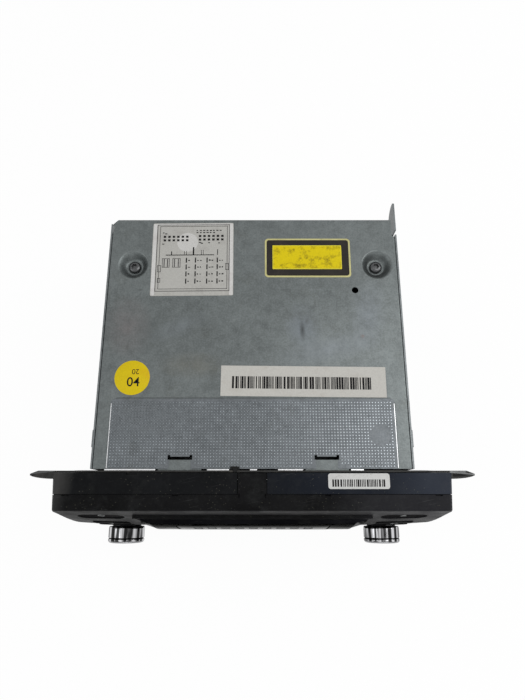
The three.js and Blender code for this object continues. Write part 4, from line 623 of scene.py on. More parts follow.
def makeCover():
    half, depth, top = cover["half"], cover["depth"], cover["top"]
    dimples = [(x, cover["dimpleY"], 0) for x in cover["dimples"]]
    raised = plate((-panel["half"], panel["half"], -1.5, panel["depth"], top - 0.5, top + panel["rise"]),
                   2, panel["corner"], 0, 6)
    bevelled(raised, edgesWhere(raised, lambda co: co.z > top + 0.1), panel["bend"], 3)
    cups = [rod(cover["dimpleFloor"] + 1.2, top - cover["dimpleDepth"] - 1, top - 0.4, place, 2, 56,
                tip=cover["dimpleRim"] + 1.4) for place in dimples]
    bm = combined(coverShell(), [raised] + cups, "UNION")
    holeX, holeY, holeRadius = cover["hole"]
    cutters = [block(-half - 2, half + 2, -4, 0, top - 20, top + 4)]
    cutters += [dimpleBowl(x) for x in cover["dimples"]]
    cutters += [rod(cover["screwHole"], top - 9, top - 3, place) for place in dimples]
    cutters.append(block(3 - panel["half"], panel["half"] - 3, panel["depth"] + 0.05, panel["depth"] + 0.5,
                         top - 0.4, top + 2))
    cutters.append(rod(holeRadius, top - 3, top + 2, (holeX, holeY, 0), 2, 28))
    notch, slotEnd = cover["notch"], cover["notch"] + cover["slot"]
    wide, eared = cover["tabHalf"], cover["tabHalf"] + cover["ear"]
    for x in cover["tabs"]:
        cutters.append(plate((x - wide, x + wide, -3, notch + 0.6, top - 4, top + 3), 2, 0.3))
        cutters.append(plate((x - eared, x + eared, notch, slotEnd, top - 4, top + 3), 2, 0.4))
        cutters += [block(end - 0.75, end + 0.75, notch, slotEnd + 0.9, top - 4, top + 3)
                    for end in (x - eared + 0.75, x + eared - 0.75)]
    cutters += [block(-half - 2, -half + 12, depth - 12, depth + 3, top - 12, top - 1.15),
                block(half - 12, half + 2, depth - 12, depth + 3, top - 12, top - 1.15),
                block(-half + 12, half - 12, depth - 3, depth + 3, top - 14, top - cover["rearLip"]),
                block(half - 2, half + 3, depth - 12, depth + 3, top - 12, top + 3),
                block(-half - 3, -half + 0.9, depth - 9, depth - 3.4, top - 12, top + 3),
                shifted(rotated(block(-2.4, 2.4, -6, 6, top - 12, top + 3), -45), (-half, depth, 0))]
    bm = combined(bm, cutters)
    for facet in bm.faces:
        facet.material_index = int(facet.calc_center_median().z > top + 0.1)
    piece("cover_skin", bm, [zincSteel, panelZinc], nodes=["top_cover"], smooth=30)


def makeDots():
    # pressed dots in straight rows over the raised panel, left out at the patch and over the notches
    top, pitch, margin, firstRow = cover["top"] + panel["rise"], panel["pitch"], panel["margin"], panel["firstRow"]
    one = rod(panel["dot"], top - 0.05, top + panel["dotRise"], steps=8, tip=panel["dotTop"])
    bmesh.ops.delete(one, geom=[f for f in one.faces if f.normal.z < -0.9], context="FACES")
    dots = linked("dots", meshFrom(shifted(one, (margin - panel["half"], firstRow, 0))))
    columns = int((2 * panel["half"] - 2 * margin) / pitch) + 1
    rows = int((panel["depth"] - margin - firstRow) / pitch) + 1
    for count, way in ((columns, (pitch, 0, 0)), (rows, (0, pitch, 0))):
        spread = dots.modifiers.new("row", "ARRAY")
        spread.use_relative_offset = False
        spread.use_constant_offset = True
        spread.constant_offset_displace = way
        spread.count = count
    bm = applied(dots)
    patchX, patchY, patchRadius = panel["patch"]

    def bare(co):
        fromTab = min(abs(co.x - x) for x in cover["tabs"])
        overTab = any(fromTab < half and co.y < back for half, back in (panel["bareNotch"], panel["bareShoulder"]))
        return overTab or Vector((co.x - patchX, co.y - patchY)).length < patchRadius

    bmesh.ops.delete(bm, geom=[f for f in bm.faces if bare(f.calc_center_median())], context="FACES")
    bmesh.ops.delete(bm, geom=[v for v in bm.verts if not v.link_faces], context="VERTS")
    piece("cover_dots", bm, dotZinc, smooth=25, even=False)


def makePanelLines():
    # thin near-white strips along both sides of the raised panel, a painted highlight on its bends
    middle, half, top = panel["half"] - panel["lineInset"], panel["lineHalf"], cover["top"]
    lines = [plate((x - half, x + half, 0.4, panel["depth"] - 3, top + 0.2, top + panel["rise"] + 0.12),
                   2, 0, 0.08, 1, 1) for x in (-middle, middle)]
    piece("panel_highlights", gathered(*lines), highlightSteel)


screwHead = {"outline": [(0, 0.3), (1.5, 0.3), (1.5, -4), (1.9, -4), (1.9, 0.3), (3.75, 0.3), (3.9, 0.5), (3.86, 1.0),
                         (3.55, 1.6), (3.0, 2.05), (2.3, 2.35), (0, 2.5)],
             "star": (1.7, 1.0, 3.4), "lobes": 6, "lobeDepth": 0.14}


def coverScrew(x):
    # button head with a six-lobed socket
    head, star = spun(screwHead["outline"], 40), rod(*screwHead["star"])
    for vert in star.verts:
        lobe = 1 + screwHead["lobeDepth"] * cos(screwHead["lobes"] * atan2(vert.co.y, vert.co.x))
        vert.co.x *= lobe
        vert.co.y *= lobe
    return shifted(combined(head, [star]), (x, cover["dimpleY"], cover["top"] - cover["dimpleDepth"]))


makeCover()
makeDots()
makePanelLines()
for side, x in zip(("left", "right"), cover["dimples"]):
    piece(f"dimple_screw_{side}", coverScrew(x), screwSteel, nodes=[f"cover_screw_{side}"])
print("top cover, dots and screws made")


# Chassis tub with side rails, vents and the rear lug
tub = {"half": 91.1, "depth": 156.6, "top": 101, "wall": 1, "bend": 1.6, "vents": 6, "ventStart": 84, "ventPitch": 9,
       "ventWidth": 3, "ventBase": 34, "ventHeight": 20, "posts": (72, 14, 130), "postTop": 13.7,
       "lug": (146, 169, 86), "lugCurve": 12.8, "lugCorner": 1.4, "sideHoles": (12, 140), "sideHoleZ": 88,
       "sideHole": 1.6, "footX": (-60, -20, 20, 60), "footY": (30, 120), "foot": 2.2,
       "beads": ((10, 148, 14), (12, 48, 76), (12, 48, 60)), "beadHeight": 5, "beadRise": 0.7}
rail = {"span": (56, 101, 60, 97), "thick": 0.8, "slot": (66, 91, 66, 72), "tab": (12, 22, 97.6, 100.6),
        "screws": ((30, 95), (62, 91), (95, 91), (62, 65), (95, 65), (138, 95))}


def wallBead(side, y0, y1, z):
    # a stiffening bead pressed outwards from a side wall
    height, outer = tub["beadHeight"], tub["half"] + tub["beadRise"]
    bm = plate((*onSide(side, tub["half"] - 0.3, outer), y0, y1, z - height / 2, z + height / 2), 0,
               height / 2 - 0.05, 0, 6)
    return bevelled(bm, edgesWhere(bm, lambda co: abs(co.x - side * outer) < 0.01), 0.6, 3)


def makeTub():
    half, depth, top = tub["half"], tub["depth"], tub["top"]
    bm = block(-half, half, 0, depth, 0, top)
    bevelled(bm, [e for e in edgesWhere(bm, lambda co: co.z < 1) if alongAxis(e, 1)], tub["bend"], 4)
    hollowed(bm, lambda normal: normal.z > 0.9 or abs(normal.y) > 0.9, tub["wall"])
    lugFront, lugBack, lugBase = tub["lug"]
    lug = block(half - 1, half, lugFront, lugBack, lugBase, top)
    bevelled(lug, edgesWhere(lug, lambda co: co.y > lugBack - 1 and co.z < lugBase + 1), tub["lugCurve"], 10)
    bevelled(lug, edgesWhere(lug, lambda co: co.y > lugBack - 4 and co.z > top - 0.1), tub["lugCorner"], 4)
    bm = combined(bm, [lug], "UNION")
    cutters = [block(half - 2, half + 2, 146, 149, 93.5, top + 2), block(-half - 2, 3 - half, 153.4, 160, 96, top + 2)]
    for side in (-1, 1):
        for i in range(tub["vents"]):
            y = tub["ventStart"] + i * tub["ventPitch"]
            cutters.append(plate((*onSide(side, half - 2, half + 2), y, y + tub["ventWidth"], tub["ventBase"],
                                  tub["ventBase"] + tub["ventHeight"]), 0, 1.4, 0, 5))
    cutters += [rod(tub["sideHole"], -half - 2, half + 2, (0, y, tub["sideHoleZ"]), 0, 20) for y in tub["sideHoles"]]
    cutters += [rod(tub["foot"], -2, 3, (x, y, 0), 2, 20) for x in tub["footX"] for y in tub["footY"]]
    bm = combined(bm, cutters)
    postX, postFront, postBack = tub["posts"]
    posts = [rod(3, 0.4, tub["postTop"], (x, y, 0), 2, 24, 0.3) for x in (-postX, postX) for y in (postFront, postBack)]
    beads = [wallBead(side, *bead) for bead in tub["beads"] for side in (-1, 1)]
    piece("chassis_shell", gathered(bm, *posts, *beads), dullSteel, nodes=["chassis_tub"])


def makeRails():
    # a screwed guide plate on each side wall, a little proud of the cover's edge
    shapes, base = [], tub["half"] + 0.05
    for side in (-1, 1):
        guide = plate((*onSide(side, base, tub["half"] + rail["thick"]), *rail["span"]), 0, 2.5, 0.2, 5)
        shapes.append(combined(guide, [plate((*onSide(side, 88, 96), *rail["slot"]), 0, 2.9, 0, 6)]))
        shapes.append(plate((*onSide(side, base, tub["half"] + 0.6), *rail["tab"]), 0, 0.8, 0.15, 3))
    piece("side_rails", gathered(*shapes), dullSteel)


def panHead(x, y, z, way, axis, radius=2.7):
    # small cross-slotted screw head facing along an axis
    head = spun([(0, -0.6), (radius * 0.55, -0.6), (radius * 0.55, 0), (radius, 0), (radius, 0.35), (radius * 0.9, 0.8),
                 (radius * 0.6, 1.1), (0, 1.2)], 28)
    arm = radius * 0.55
    bm = combined(head, [plate((-arm, arm, -0.3, 0.3, 0.5, 2), 2, 0.1), plate((-0.3, 0.3, -arm, arm, 0.5, 2), 2, 0.1)])
    if way < 0:
        rotated(bm, 180, "X")
    return turned(bm, axis, (x, y, z))


def makeSideScrews():
    # those within the rails stand on them, the others on the walls
    front, back = rail["span"][:2]
    screws = [(side * (tub["half"] + rail["thick"] * (front < y < back)), y, z, side, 0)
              for side in (-1, 1) for y, z in rail["screws"]]
    piece("side_screws", copies(panHead, screws), brightSteel)


makeTub()
makeRails()
makeSideScrews()
print("chassis made")


# Rear: panel, heat sink and sockets
rear = {"half": 88.5, "front": 140, "back": 141, "base": 1.3, "top": 99.7, "edge": 155.6,
        "windows": ((5.7, 62.3, 14, 56), (70.7, 82.3, 14, 27.2)), "ribs": ((-22, 84, 59, 80), (-84, 84, 85, 89)),
        "screws": ((-84, 94), (84, 94), (-84, 6), (84, 6), (0, 94), (0, 6), (-24, 50))}
rearVents = {"start": -18, "pitch": 7, "columns": 14, "rows": (62, 71), "width": 3.4, "height": 6}


def makeRearPanel():
    front, back = rear["front"], rear["back"]
    bm = plate((-rear["half"], rear["half"], front, back, rear["base"], rear["top"]), 1, 1, 0.15)
    cutters = [plate((x0, x1, front - 2, back + 2, z0, z1), 1, 0.8) for x0, x1, z0, z1 in rear["windows"]]
    for z in rearVents["rows"]:
        for i in range(rearVents["columns"]):
            x = rearVents["start"] + i * rearVents["pitch"]
            cutters.append(plate((x, x + rearVents["width"], front - 2, back + 2, z, z + rearVents["height"]),
                                 1, 1.5, 0, 4))
    bm = combined(bm, cutters)
    ribs = [combined(plate((x0 - 1.5, x1 + 1.5, back - 0.3, back + 0.5, z0 - 1.5, z1 + 1.5), 1, 3),
                     [plate((x0, x1, back - 1, back + 2, z0, z1), 1, 2)]) for x0, x1, z0, z1 in rear["ribs"]]
    piece("back_plate", gathered(bm, *ribs), zincSteel, nodes=["rear_panel"])


sink = {"x": (-84, -28), "z": (18, 82), "y": (141.3, 144.3), "fins": 12, "thick": 1.5, "pitch": 54.5 / 11,
        "shortFins": (3, 8), "shortEnd": 150, "screwFins": (2, 8), "screwZ": (30, 70)}


def makeHeatSink():
    shapes = [plate((*sink["x"], *sink["y"], *sink["z"]), 1, 0.6, 0.25)]
    for i in range(sink["fins"]):
        x = sink["x"][0] + i * sink["pitch"]
        end = sink["shortEnd"] if i in sink["shortFins"] else rear["edge"]
        shapes.append(plate((x, x + sink["thick"], 143, end, *sink["z"]), 0, 1.2, 0.3, 3))
    piece("finned_sink", gathered(*shapes), bareAluminium, nodes=["heat_sink"])


powerSocket = {"x": (6, 62), "front": 129, "z": (15.9, 48.9), "wall": 2, "cavity": 15, "columns": 8, "rows": 2,
               "keyX": 14, "ribX": (19, 48), "latchHalf": 9, "cheek": (9.8, 11.3), "cheekDepth": 12, "cheekRise": 6.8}


def makePowerConnector():
    (x0, x1), (z0, z1), wall, back = powerSocket["x"], powerSocket["z"], powerSocket["wall"], rear["edge"]
    latch, keyX = powerSocket["latchHalf"], powerSocket["keyX"]
    floorY, middle = back - powerSocket["cavity"], (x0 + x1) / 2
    body = combined(plate((x0, x1, powerSocket["front"], back, z0, z1), 1, 1.2, 0.3, 4),
                    [plate((x0 + wall, x1 - wall, floorY, back + 2, z0 + wall, z1 - wall), 1, 0.8),
                     plate((middle - latch, middle + latch, back - 6, back - 3.5, z0 - 1, z0 + wall + 0.4), 1, 0.2),
                     plate((keyX, keyX + 2.4, back - 9, back + 2, z1 - wall - 0.2, z1 + 1), 1, 0.2)])
    ribs = [plate((x, x + 1.2, back - 10, back - 0.4, z0 + wall - 0.2, z0 + wall + 1.3), 1, 0.3)
            for x in powerSocket["ribX"]]
    cheeks = [plate((*[middle + x for x in onSide(side, *powerSocket["cheek"])], back - powerSocket["cheekDepth"], back,
                     z1 - 1, z1 + powerSocket["cheekRise"]), 1, 0.5, 0.15) for side in (-1, 1)]
    collar = combined(plate((x0 - 0.2, x1 + 0.2, back - 4, back - 2.8, z0 - 0.2, z1 + 0.2), 1, 1),
                      [plate((x0 + 1, x1 - 1, back - 5, back, z0 + 1, z1 - 1), 1, 0.5)])
    piece("power_socket", gathered(body, *ribs, *cheeks, collar), connectorPlastic, nodes=["power_connector"])
    blades = []
    for row in range(1, powerSocket["rows"] + 1):
        for column in range(1, powerSocket["columns"] + 1):
            x = x0 + wall + column * (x1 - x0 - 2 * wall) / (powerSocket["columns"] + 1)
            z = z0 + wall + row * (z1 - z0 - 2 * wall) / (powerSocket["rows"] + 1)
            blades.append(plate(frontBox(x, z, 1, 2.8, floorY - 1, floorY + 8), 1, 0.25, 0.3))
    piece("power_blades", gathered(*blades), brass)


fuseHolder = {"x": 34, "base": 49.2, "half": 9.5, "depth": 12, "height": 5, "grip": 4.6, "window": (5.4, 7.6),
              "prong": 5}


def makeFuse():
    x, base, half, depth, height, grip = (fuseHolder[name] for name in ("x", "base", "half", "depth", "height", "grip"))
    back = rear["edge"]
    body = plate((x - half, x + half, back - depth, back, base, base + height), 2, 1.2, 0.4, 4)
    cutters = [plate((x - grip, x + grip, back - 6, back + 1, base + 3.8, base + 6), 2, 0.6)]
    cutters += [plate((*[x + s for s in onSide(side, *fuseHolder["window"])], back - 2, back + 1, base + 3, base + 6),
                      2, 0.3) for side in (-1, 1)]
    piece("blade_fuse", combined(body, cutters), fusePlastic, nodes=["fuse"])
    prongs = [plate(frontBox(x + side * fuseHolder["prong"], base + 2.5, 3, 3, back - 13, back - 11.8), 1, 0.3)
              for side in (-1, 1)]
    piece("fuse_prongs", gathered(*prongs), brass)


aerial = {"x": 76.5, "z": 21.4, "size": 11, "front": 129, "bore": 3.3, "deep": 11,
          "sleeve": [(2.4, 0), (2.4, 7), (2.15, 7), (2.15, 0)],
          "pin": [(0, 0), (0.6, 0), (0.6, 4), (0.35, 4.6), (0, 4.7)]}


def makeAntennaSocket():
    x, z, size, back = aerial["x"], aerial["z"], aerial["size"], rear["edge"]
    body = plate(frontBox(x, z, size, size, aerial["front"], back), 1, 1.6, 0.3, 5)
    bore = rod(aerial["bore"], -back - 2, aerial["deep"] - back, (x, 0, z), 1, 36)
    keyway = plate((x - 1, x + 1, back - 8, back + 2, z + size / 2 - 3, z + size / 2 - 1.3), 1, 0.3)
    piece("aerial_socket", combined(body, [bore, keyway]), socketPlastic, nodes=["antenna_socket"])
    contacts = gathered(spun(aerial["sleeve"], 28, closed=True), spun(aerial["pin"], 16))
    shifted(rotated(contacts, -90, "X"), (x, back - aerial["deep"] - 0.4, z))
    piece("aerial_contacts", contacts, brass)


def makeBackScrews():
    screws = [(x, rear["back"], z, -1, 1, 2.6) for x, z in rear["screws"]]
    screws += [(sink["x"][0] + (i + 0.5) * sink["pitch"] + 2.45, sink["y"][1], z, -1, 1, 1.6)
               for i in sink["screwFins"] for z in sink["screwZ"]]
    piece("back_screws", copies(panHead, screws), brightSteel)


makeRearPanel()
makeHeatSink()
makePowerConnector()
makeFuse()
makeAntennaSocket()
makeBackScrews()
print("rear panel and sockets made")


# Mounting plate behind the front panel
ears = {"plateHalf": 104, "base": 2, "top": 102.7, "front": -1.9, "back": -0.9, "root": 97, "reach": 124.8,
        "foot": 110.9, "earBase": 6, "earTop": 100, "rim": 4.5, "lean": 1.7, "lip": 3.5, "middle": 52,
        "window": (115.3, 9, 34), "holeX": 116.6, "hole": 2.2, "rise": 24, "pad": (97, 109), "padHeight": 16,
        "openings": ((0, 86, 144, 20), (0, 40, 126, 50))}


def sheetFrom(points, z0, z1, side=1):
    # an outline seen from above, given its height
    bm = bmesh.new()
    bmesh.ops.contextual_create(bm, geom=[bm.verts.new((side * x, y, z0)) for x, y in points])
    pulled = bmesh.ops.extrude_face_region(bm, geom=bm.faces[:])["geom"]
    bmesh.ops.translate(bm, vec=(0, 0, z1 - z0), verts=[v for v in pulled if isinstance(v, bmesh.types.BMVert)])
    bmesh.ops.recalc_face_normals(bm, faces=bm.faces)
    return bm


def earSheet(side):
    # flat behind the panel, its outer rim leaning forward
    root, reach, lean, front, back = (ears[name] for name in ("root", "reach", "lean", "front", "back"))
    bend = reach - ears["rim"]
    return sheetFrom([(root, back), (bend, back), (reach, back - lean), (reach, front - lean), (bend, front),
                      (root, front)], ears["earBase"], ears["earTop"], side)


def earLip(side, base):
    # the folded lip over an ear, narrowing to its tip in a curve
    reach, foot, lean, back = ears["reach"], ears["foot"], ears["lean"], ears["back"]
    bend, tipFront, front = reach - ears["rim"], ears["front"] - lean, ears["front"] - ears["lip"]
    points = [(foot, back), (bend, back), (reach - 0.5, back - lean + 0.2), (reach, back - lean - 0.5),
              (reach - 0.2, tipFront + 0.1)]
    for i in range(1, 9):
        t = i / 8
        points.append(((1 - t) ** 2 * reach + 2 * t * (1 - t) * bend + t * t * foot,
                       (1 - t) ** 2 * tipFront + 2 * t * (1 - t) * front + t * t * front))
    return sheetFrom(points, base, base + 1, side)


def makeMountingPlate():
    sheet = plate((-ears["plateHalf"], ears["plateHalf"], ears["front"], ears["back"], ears["base"], ears["top"]),
                  1, 10, 0, 8)
    windowX, windowWidth, windowHeight = ears["window"]
    levels = (ears["middle"] - ears["rise"], ears["middle"] + ears["rise"])
    padHalf = ears["padHeight"] / 2
    joins = []
    cutters = [plate(frontBox(*opening, -4, 2), 1, 4) for opening in ears["openings"]]
    for side in (-1, 1):
        joins += [earSheet(side), earLip(side, ears["earBase"]), earLip(side, ears["earTop"] - 1)]
        joins += [plate((*onSide(side, *ears["pad"]), -1.4, -0.3, z - padHalf, z + padHalf), 1, 3, 0, 5)
                  for z in levels]
        cutters.append(plate(frontBox(side * windowX, ears["middle"], windowWidth, windowHeight, -4, 2), 1, 4))
        cutters += [rod(ears["hole"], -2, 4, (side * ears["holeX"], 0, z), 1, 28) for z in levels]
    piece("ear_plate", combined(combined(sheet, joins, "UNION"), cutters), plateSteel, nodes=["mounting_plate"])


# outlines seen from above, with their low and high sides: lighter steel strips on the ear lips as painted highlight,
# and a dark sheet on the right ear as painted shade
earLightAndShade = {
    "left": ([(-110.9, -0.92), (-120, -0.92), (-124.2, -2.6), (-124.1, -2.9), (-119.9, -1.3), (-110.9, -1.3)],
             99.9, 100.12),
    "right": ([(110.9, -0.92), (120.2, -0.92), (124.4, -2.6), (124.2, -3.3), (119.6, -2.1), (110.9, -2.1)],
              99.9, 100.14),
    "shadeSheet": ([(112.6, -2.5), (119.2, -2.5), (121.8, -3.1), (118, -4.1), (112.6, -4.3)], 99.95, 100.1),
}
tabShape = {"shoulder": 12.2, "tongue": 6.6, "hook": 6.4, "reach": 5, "base": 100.2}
clipShape = {"foot": (-12.4, -7.2, -2.6, 1.4, 101.0, 102.2), "post": (-10.8, -8.6, -2.1, 0.4, 101.2, 103.4)}
# near-white strips in the gap along the cover's front edge: painted highlight
edgeHighlights = [(-25.3, -13, -1.1, 101.9), (-1.3, 2.6, -1.1, 101.7), (14.4, 28.3, -1.1, 101.9), (55.2, 62.4, -1.1, 101.7),
              (-82.9, -54.4, -1.0, 101.5)]


def makeEarRims():
    # lighter strips of the ear steel along the back of each ear's lip, a painted highlight, and a dark sheet on the
    # right ear's lip, painted shade
    piece("ear_rim_highlights", gathered(sheetFrom(*earLightAndShade["left"]), sheetFrom(*earLightAndShade["right"])), rimHighlightSteel)
    piece("ear_shade_sheet", sheetFrom(*earLightAndShade["shadeSheet"]), rubber)


def coverTab(x):
    # a hook of the mounting plate that lies in the cover's notch
    shoulder, tongue, hook, base = tabShape["shoulder"], tabShape["tongue"], tabShape["hook"], tabShape["base"]
    return combined(plate((x - shoulder, x + shoulder, -1.4, -0.15, base, 101.25), 2, 0.3, 0.12),
                    [plate((x - tongue, x + tongue, -1.0, tabShape["reach"], base, 101.3), 2, 0.3, 0.15),
                     block(x - hook, x + hook, 4.0, tabShape["reach"] - 0.1, 96.5, 100.6)], "UNION")


def makeTrim():
    piece("cover_tabs", copies(coverTab, [(x,) for x in cover["tabs"]]), zincSteel)
    clip = gathered(plate(clipShape["foot"], 2, 0.8, 0.3), plate(clipShape["post"], 2, 0.6, 0.3))
    piece("cover_clip", clip, rubber)
    # painted highlight along the cover's front edge
    strips = [plate((x0, x1, y, y + 0.9, top - 1.2, top), 2, 0.2, 0.1) for x0, x1, y, top in edgeHighlights]
    piece("edge_highlights", gathered(*strips), highlightSteel)


makeMountingPlate()
makeEarRims()
makeTrim()
print("mounting plate made")


# Front panel
face = {"half": 110.5, "height": 104, "top": 103.86, "rim": -22.6, "swell": 9.9, "sideFall": 0.2, "sidePower": 4,
        "leanPower": 1.2, "fullLean": 0.6, "under": 0.15, "corner": 5, "wall": 2.2, "parting": -13.7, "back": -2.2,
        "flare": 1.4, "flareFrom": 103, "nicks": (-104, -44, 40, 100.6), "tongue": 8, "knobHole": 4.2}
discSlot = {"half": 67, "middle": 86, "height": 5.2, "corner": 1.7, "tunnel": (-68.6, 68.6, -27, -16, 81.8, 90.2),
            "felt": (-68.2, 68.2, -15.7, -14.2, 82.2, 89.8), "slit": (-65.8, 65.8, -17, -12, 85.3, 86.7)}
# width, height, corner and how far such a key stands out of the face
oval, sideKey, preset = (26, 11, 5.45, -0.6), (22, 8, 1.6, 0.6), (15, 9, 1.6, 2.6)
faceControls = {
    "eject_button": (87, 86, *oval), "power_button": (-87, 86, *oval),
    "side_key_left_upper": (-86, 66, *sideKey), "side_key_right_upper": (86, 66, *sideKey),
    "side_key_left_lower": (-86, 52, *sideKey), "side_key_right_lower": (86, 52, *sideKey),
    **{f"preset_button_{i + 1}": ((i - 2.5) * 17.5, 33, *preset) for i in range(6)},
}
keyBodies = {"eject_button": "eject_key", "power_button": "power_key", "side_key_left_upper": "side_key_lu",
             "side_key_right_upper": "side_key_ru", "side_key_left_lower": "side_key_ll",
             "side_key_right_lower": "side_key_rl", **{f"preset_button_{i}": f"preset_{i}" for i in range(1, 7)}}
knobShape = {"x": 85.6, "z": 29, "stem": 1.6, "stemEnd": 16,
             "outline": [(0, 35), (10, 35), (10, 33.4), (11.1, 33.4), (11.5, 33.6), (11.7, 34.1), (11.8, 35),
                         (11.8, 40.4), (11.7, 40.62), (11.25, 40.75), (11.15, 41.0), (11.25, 41.25), (11.62, 41.36),
                         (11.8, 41.6), (11.8, 42.3), (11.66, 42.9), (11.3, 43.45), (10.8, 43.8), (10.2, 43.95),
                         (9.7, 43.9), (9.4, 43.6), (9.2, 43.3), (8.6, 43.2), (4, 43.15), (0, 43.12)],
             "groove": (40.65, 41.36), "faceFrom": 43, "pointer": (4.2, 8.2)}
pane = {"half": 46, "base": 46, "top": 72, "rise": 2.25, "thick": 2.4, "digits": 9, "pitch": 8.5, "digitHeight": 10.4}


def swell(x, z):
    # how far the face stands forward of its rim
    across = min(abs(x) / face["half"], 1)
    down = min(max((face["height"] - z) / face["height"], 0), 1)
    lean = sin(min(down / face["fullLean"], 1) * pi / 2) ** face["leanPower"]
    under = max(down - face["fullLean"], 0) / (1 - face["fullLean"])
    sideways = 1 - face["sideFall"] * across ** face["sidePower"]
    return face["swell"] * sideways * lean * (1 - face["under"] * under ** 2)


def flared(bm):
    # the side walls of both shells spread a little towards the rear
    for vert in bm.verts:
        if abs(vert.co.x) > face["flareFrom"] and vert.co.y > face["rim"]:
            share = (vert.co.y - face["rim"]) / (face["back"] - face["rim"])
            vert.co.x += copysign(face["flare"] * share, vert.co.x)
    return bm


def onFace(bm, behind=99.0):
    # moves everything in front of a depth forward by the swell
    for vert in bm.verts:
        if vert.co.y < behind:
            vert.co.y -= swell(vert.co.x, vert.co.z)
    return bm


def gridded(bm, step, x0, x1, z0, z1):
    # extra edges across a face, so that it can curve
    for axis, low, high in ((0, x0, x1), (2, z0, z1)):
        count = max(int((high - low) / step), 1)
        normal = Vector((axis == 0, 0, axis == 2))
        for i in range(1, count):
            bmesh.ops.bisect_plane(bm, geom=bm.verts[:] + bm.edges[:] + bm.faces[:], plane_no=normal,
                                   plane_co=normal * (low + (high - low) * i / count))
    return bm


def eased(bm, front, width, steps):
    # softens the front rim
    return bevelled(bm, edgesWhere(bm, lambda co: co.y < front + 0.01), width, steps)


def faceBody(inset, rise, back, step, ease):
    front, half, top = face["rim"] - rise, face["half"] - inset, face["top"] - inset
    bm = plate((-half, half, front, back, inset, top), 1, face["corner"] - inset, 0, 8)
    if ease:
        eased(bm, front, ease, 3)
    return onFace(gridded(bm, step, -half, half, inset, top), front + ease + 0.05)


def controlCutter(x, z, width, height, corner, grow, back=-16):
    return plate(frontBox(x, z, width + 2 * grow, height + 2 * grow, -50, back), 1,
                 min(corner + grow, height / 2 + grow - 0.02), 0, 7)


def faceOpenings():
    slotWidth, paneWidth, paneHeight = 2 * discSlot["half"], 2 * pane["half"], pane["top"] - pane["base"]
    cutters = [controlCutter(0, discSlot["middle"], slotWidth, discSlot["height"], discSlot["corner"], 0, -12)]
    cutters += [controlCutter(*control[:5], 0.4) for control in faceControls.values()]
    cutters.append(controlCutter(0, pane["base"] + paneHeight / 2, paneWidth, paneHeight, 1.6, 0.3))
    return cutters + [rod(face["knobHole"], 16, 50, (x, 0, knobShape["z"]), 1, 32)
                      for x in (-knobShape["x"], knobShape["x"])]


def ringPlate(half, y0, y1, base, top, wide, tall, corner, steps):
    # a thin frame that runs round inside the shell: its sides are wide, its upper and lower bars tall
    opening = plate((wide - half, half - wide, y0 - 1, y1 + 1, base + tall, top - tall), 1, 2, 0, 6)
    return combined(plate((-half, half, y0, y1, base, top), 1, corner, 0, steps), [opening])


def makeFascia():
    wall, top, front = face["wall"], face["top"], face["parting"] - 0.3
    shell = combined(faceBody(0, 0, front, 4.6, 1.1), [faceBody(wall, -wall, front + 1, 9, 0)])
    tunnel = plate(discSlot["tunnel"], 1, 1.5)
    # a lip and a dark seal at the parting line, so that no light shows through it
    lip = ringPlate(face["half"] - wall - 0.2, -17, -11.6, wall + 0.2, top - wall - 0.2, 1, 1, 3, 6)
    seal = ringPlate(face["half"] - 0.6, front - 0.1, front + 0.4, 0.6, top - 0.6, 3, 2.7, 4.5, 8)
    wide = face["tongue"]
    tongue = plate((-wide, wide, front - 1, -2.5, top - 2.2, top), 2, 0.4, 0.2)
    nicks = [block(x, x + 3.4, front - 0.8, front + 1, top - 1.4, top + 1) for x in face["nicks"]]
    nicks += [block(x - 0.35, x + 0.35, front - 1.6, front + 0.4, top - 1, top + 1) for x in (0.8 - wide, wide - 0.8)]
    shell = combined(combined(shell, [tunnel, tongue], "UNION"), faceOpenings() + nicks)
    bm = flared(gathered(shell, lip, seal))
    for facet in bm.faces:
        facet.material_index = int(front + 0.02 < facet.calc_center_median().y < front + 0.45)
    piece("face_shell", bm, [facePlastic, felt], nodes=["fascia"], smooth=32)


field = {"half": 68, "frontHalf": 60.5, "base": 12, "top": 79, "rise": 2.5, "edge": 0.7}


def makeFaceBlock():
    # the raised glossy field round the display and the preset keys, narrower in front
    half, rim = field["half"], face["rim"]
    bm = block(-half, half, rim - field["rise"], rim + 1.5, field["base"], field["top"])
    bmesh.ops.bisect_plane(bm, geom=bm.verts[:] + bm.edges[:] + bm.faces[:], plane_co=(0, rim, 0), plane_no=(0, 1, 0))
    for vert in bm.verts:
        if vert.co.y < rim - 1:
            vert.co.x *= field["frontHalf"] / half
    bevelled(bm, edgesWhere(bm, lambda co: co.y < rim - 1), field["edge"], 3)
    bm = combined(onFace(gridded(bm, 5.5, -half, half, field["base"], field["top"])), faceOpenings())
    piece("face_field", bm, glossPlastic, smooth=32)


def makeBezel():
    half, top, corner, wall, front, back = (face[name] for name in ("half", "top", "corner", "wall", "parting", "back"))
    bm = plate((-half, half, front, back, 0, top), 1, corner, 0, 8)
    bevelled(bm, edgesWhere(bm, lambda co: co.y > back - 0.01), 0.5, 2)
    notch = face["tongue"] + 0.3
    cutters = [plate((wall - half, half - wall, front - 2, back - 2.2, wall, top - wall), 1, corner - wall, 0, 8),
               plate((-84, 84, front, back + 2, 8, 96), 1, 6),
               plate((-notch, notch, front - 2, back + 2, top - wall - 0.3, top + 2), 2, 0.1)]
    cutters += [block(x, x + 6, back - 1.2, back + 1, top - 1.1, top + 1) for x in (-70, 64)]
    posts = [rod(3, 4.0, 11.1, (x, 0, z), 1, 24, 0.2) for x in (-94, 94) for z in (14, 90)]
    piece("bezel_shell", gathered(flared(combined(bm, cutters)), *posts), bezelPlastic, nodes=["bezel_frame"],
          smooth=32)


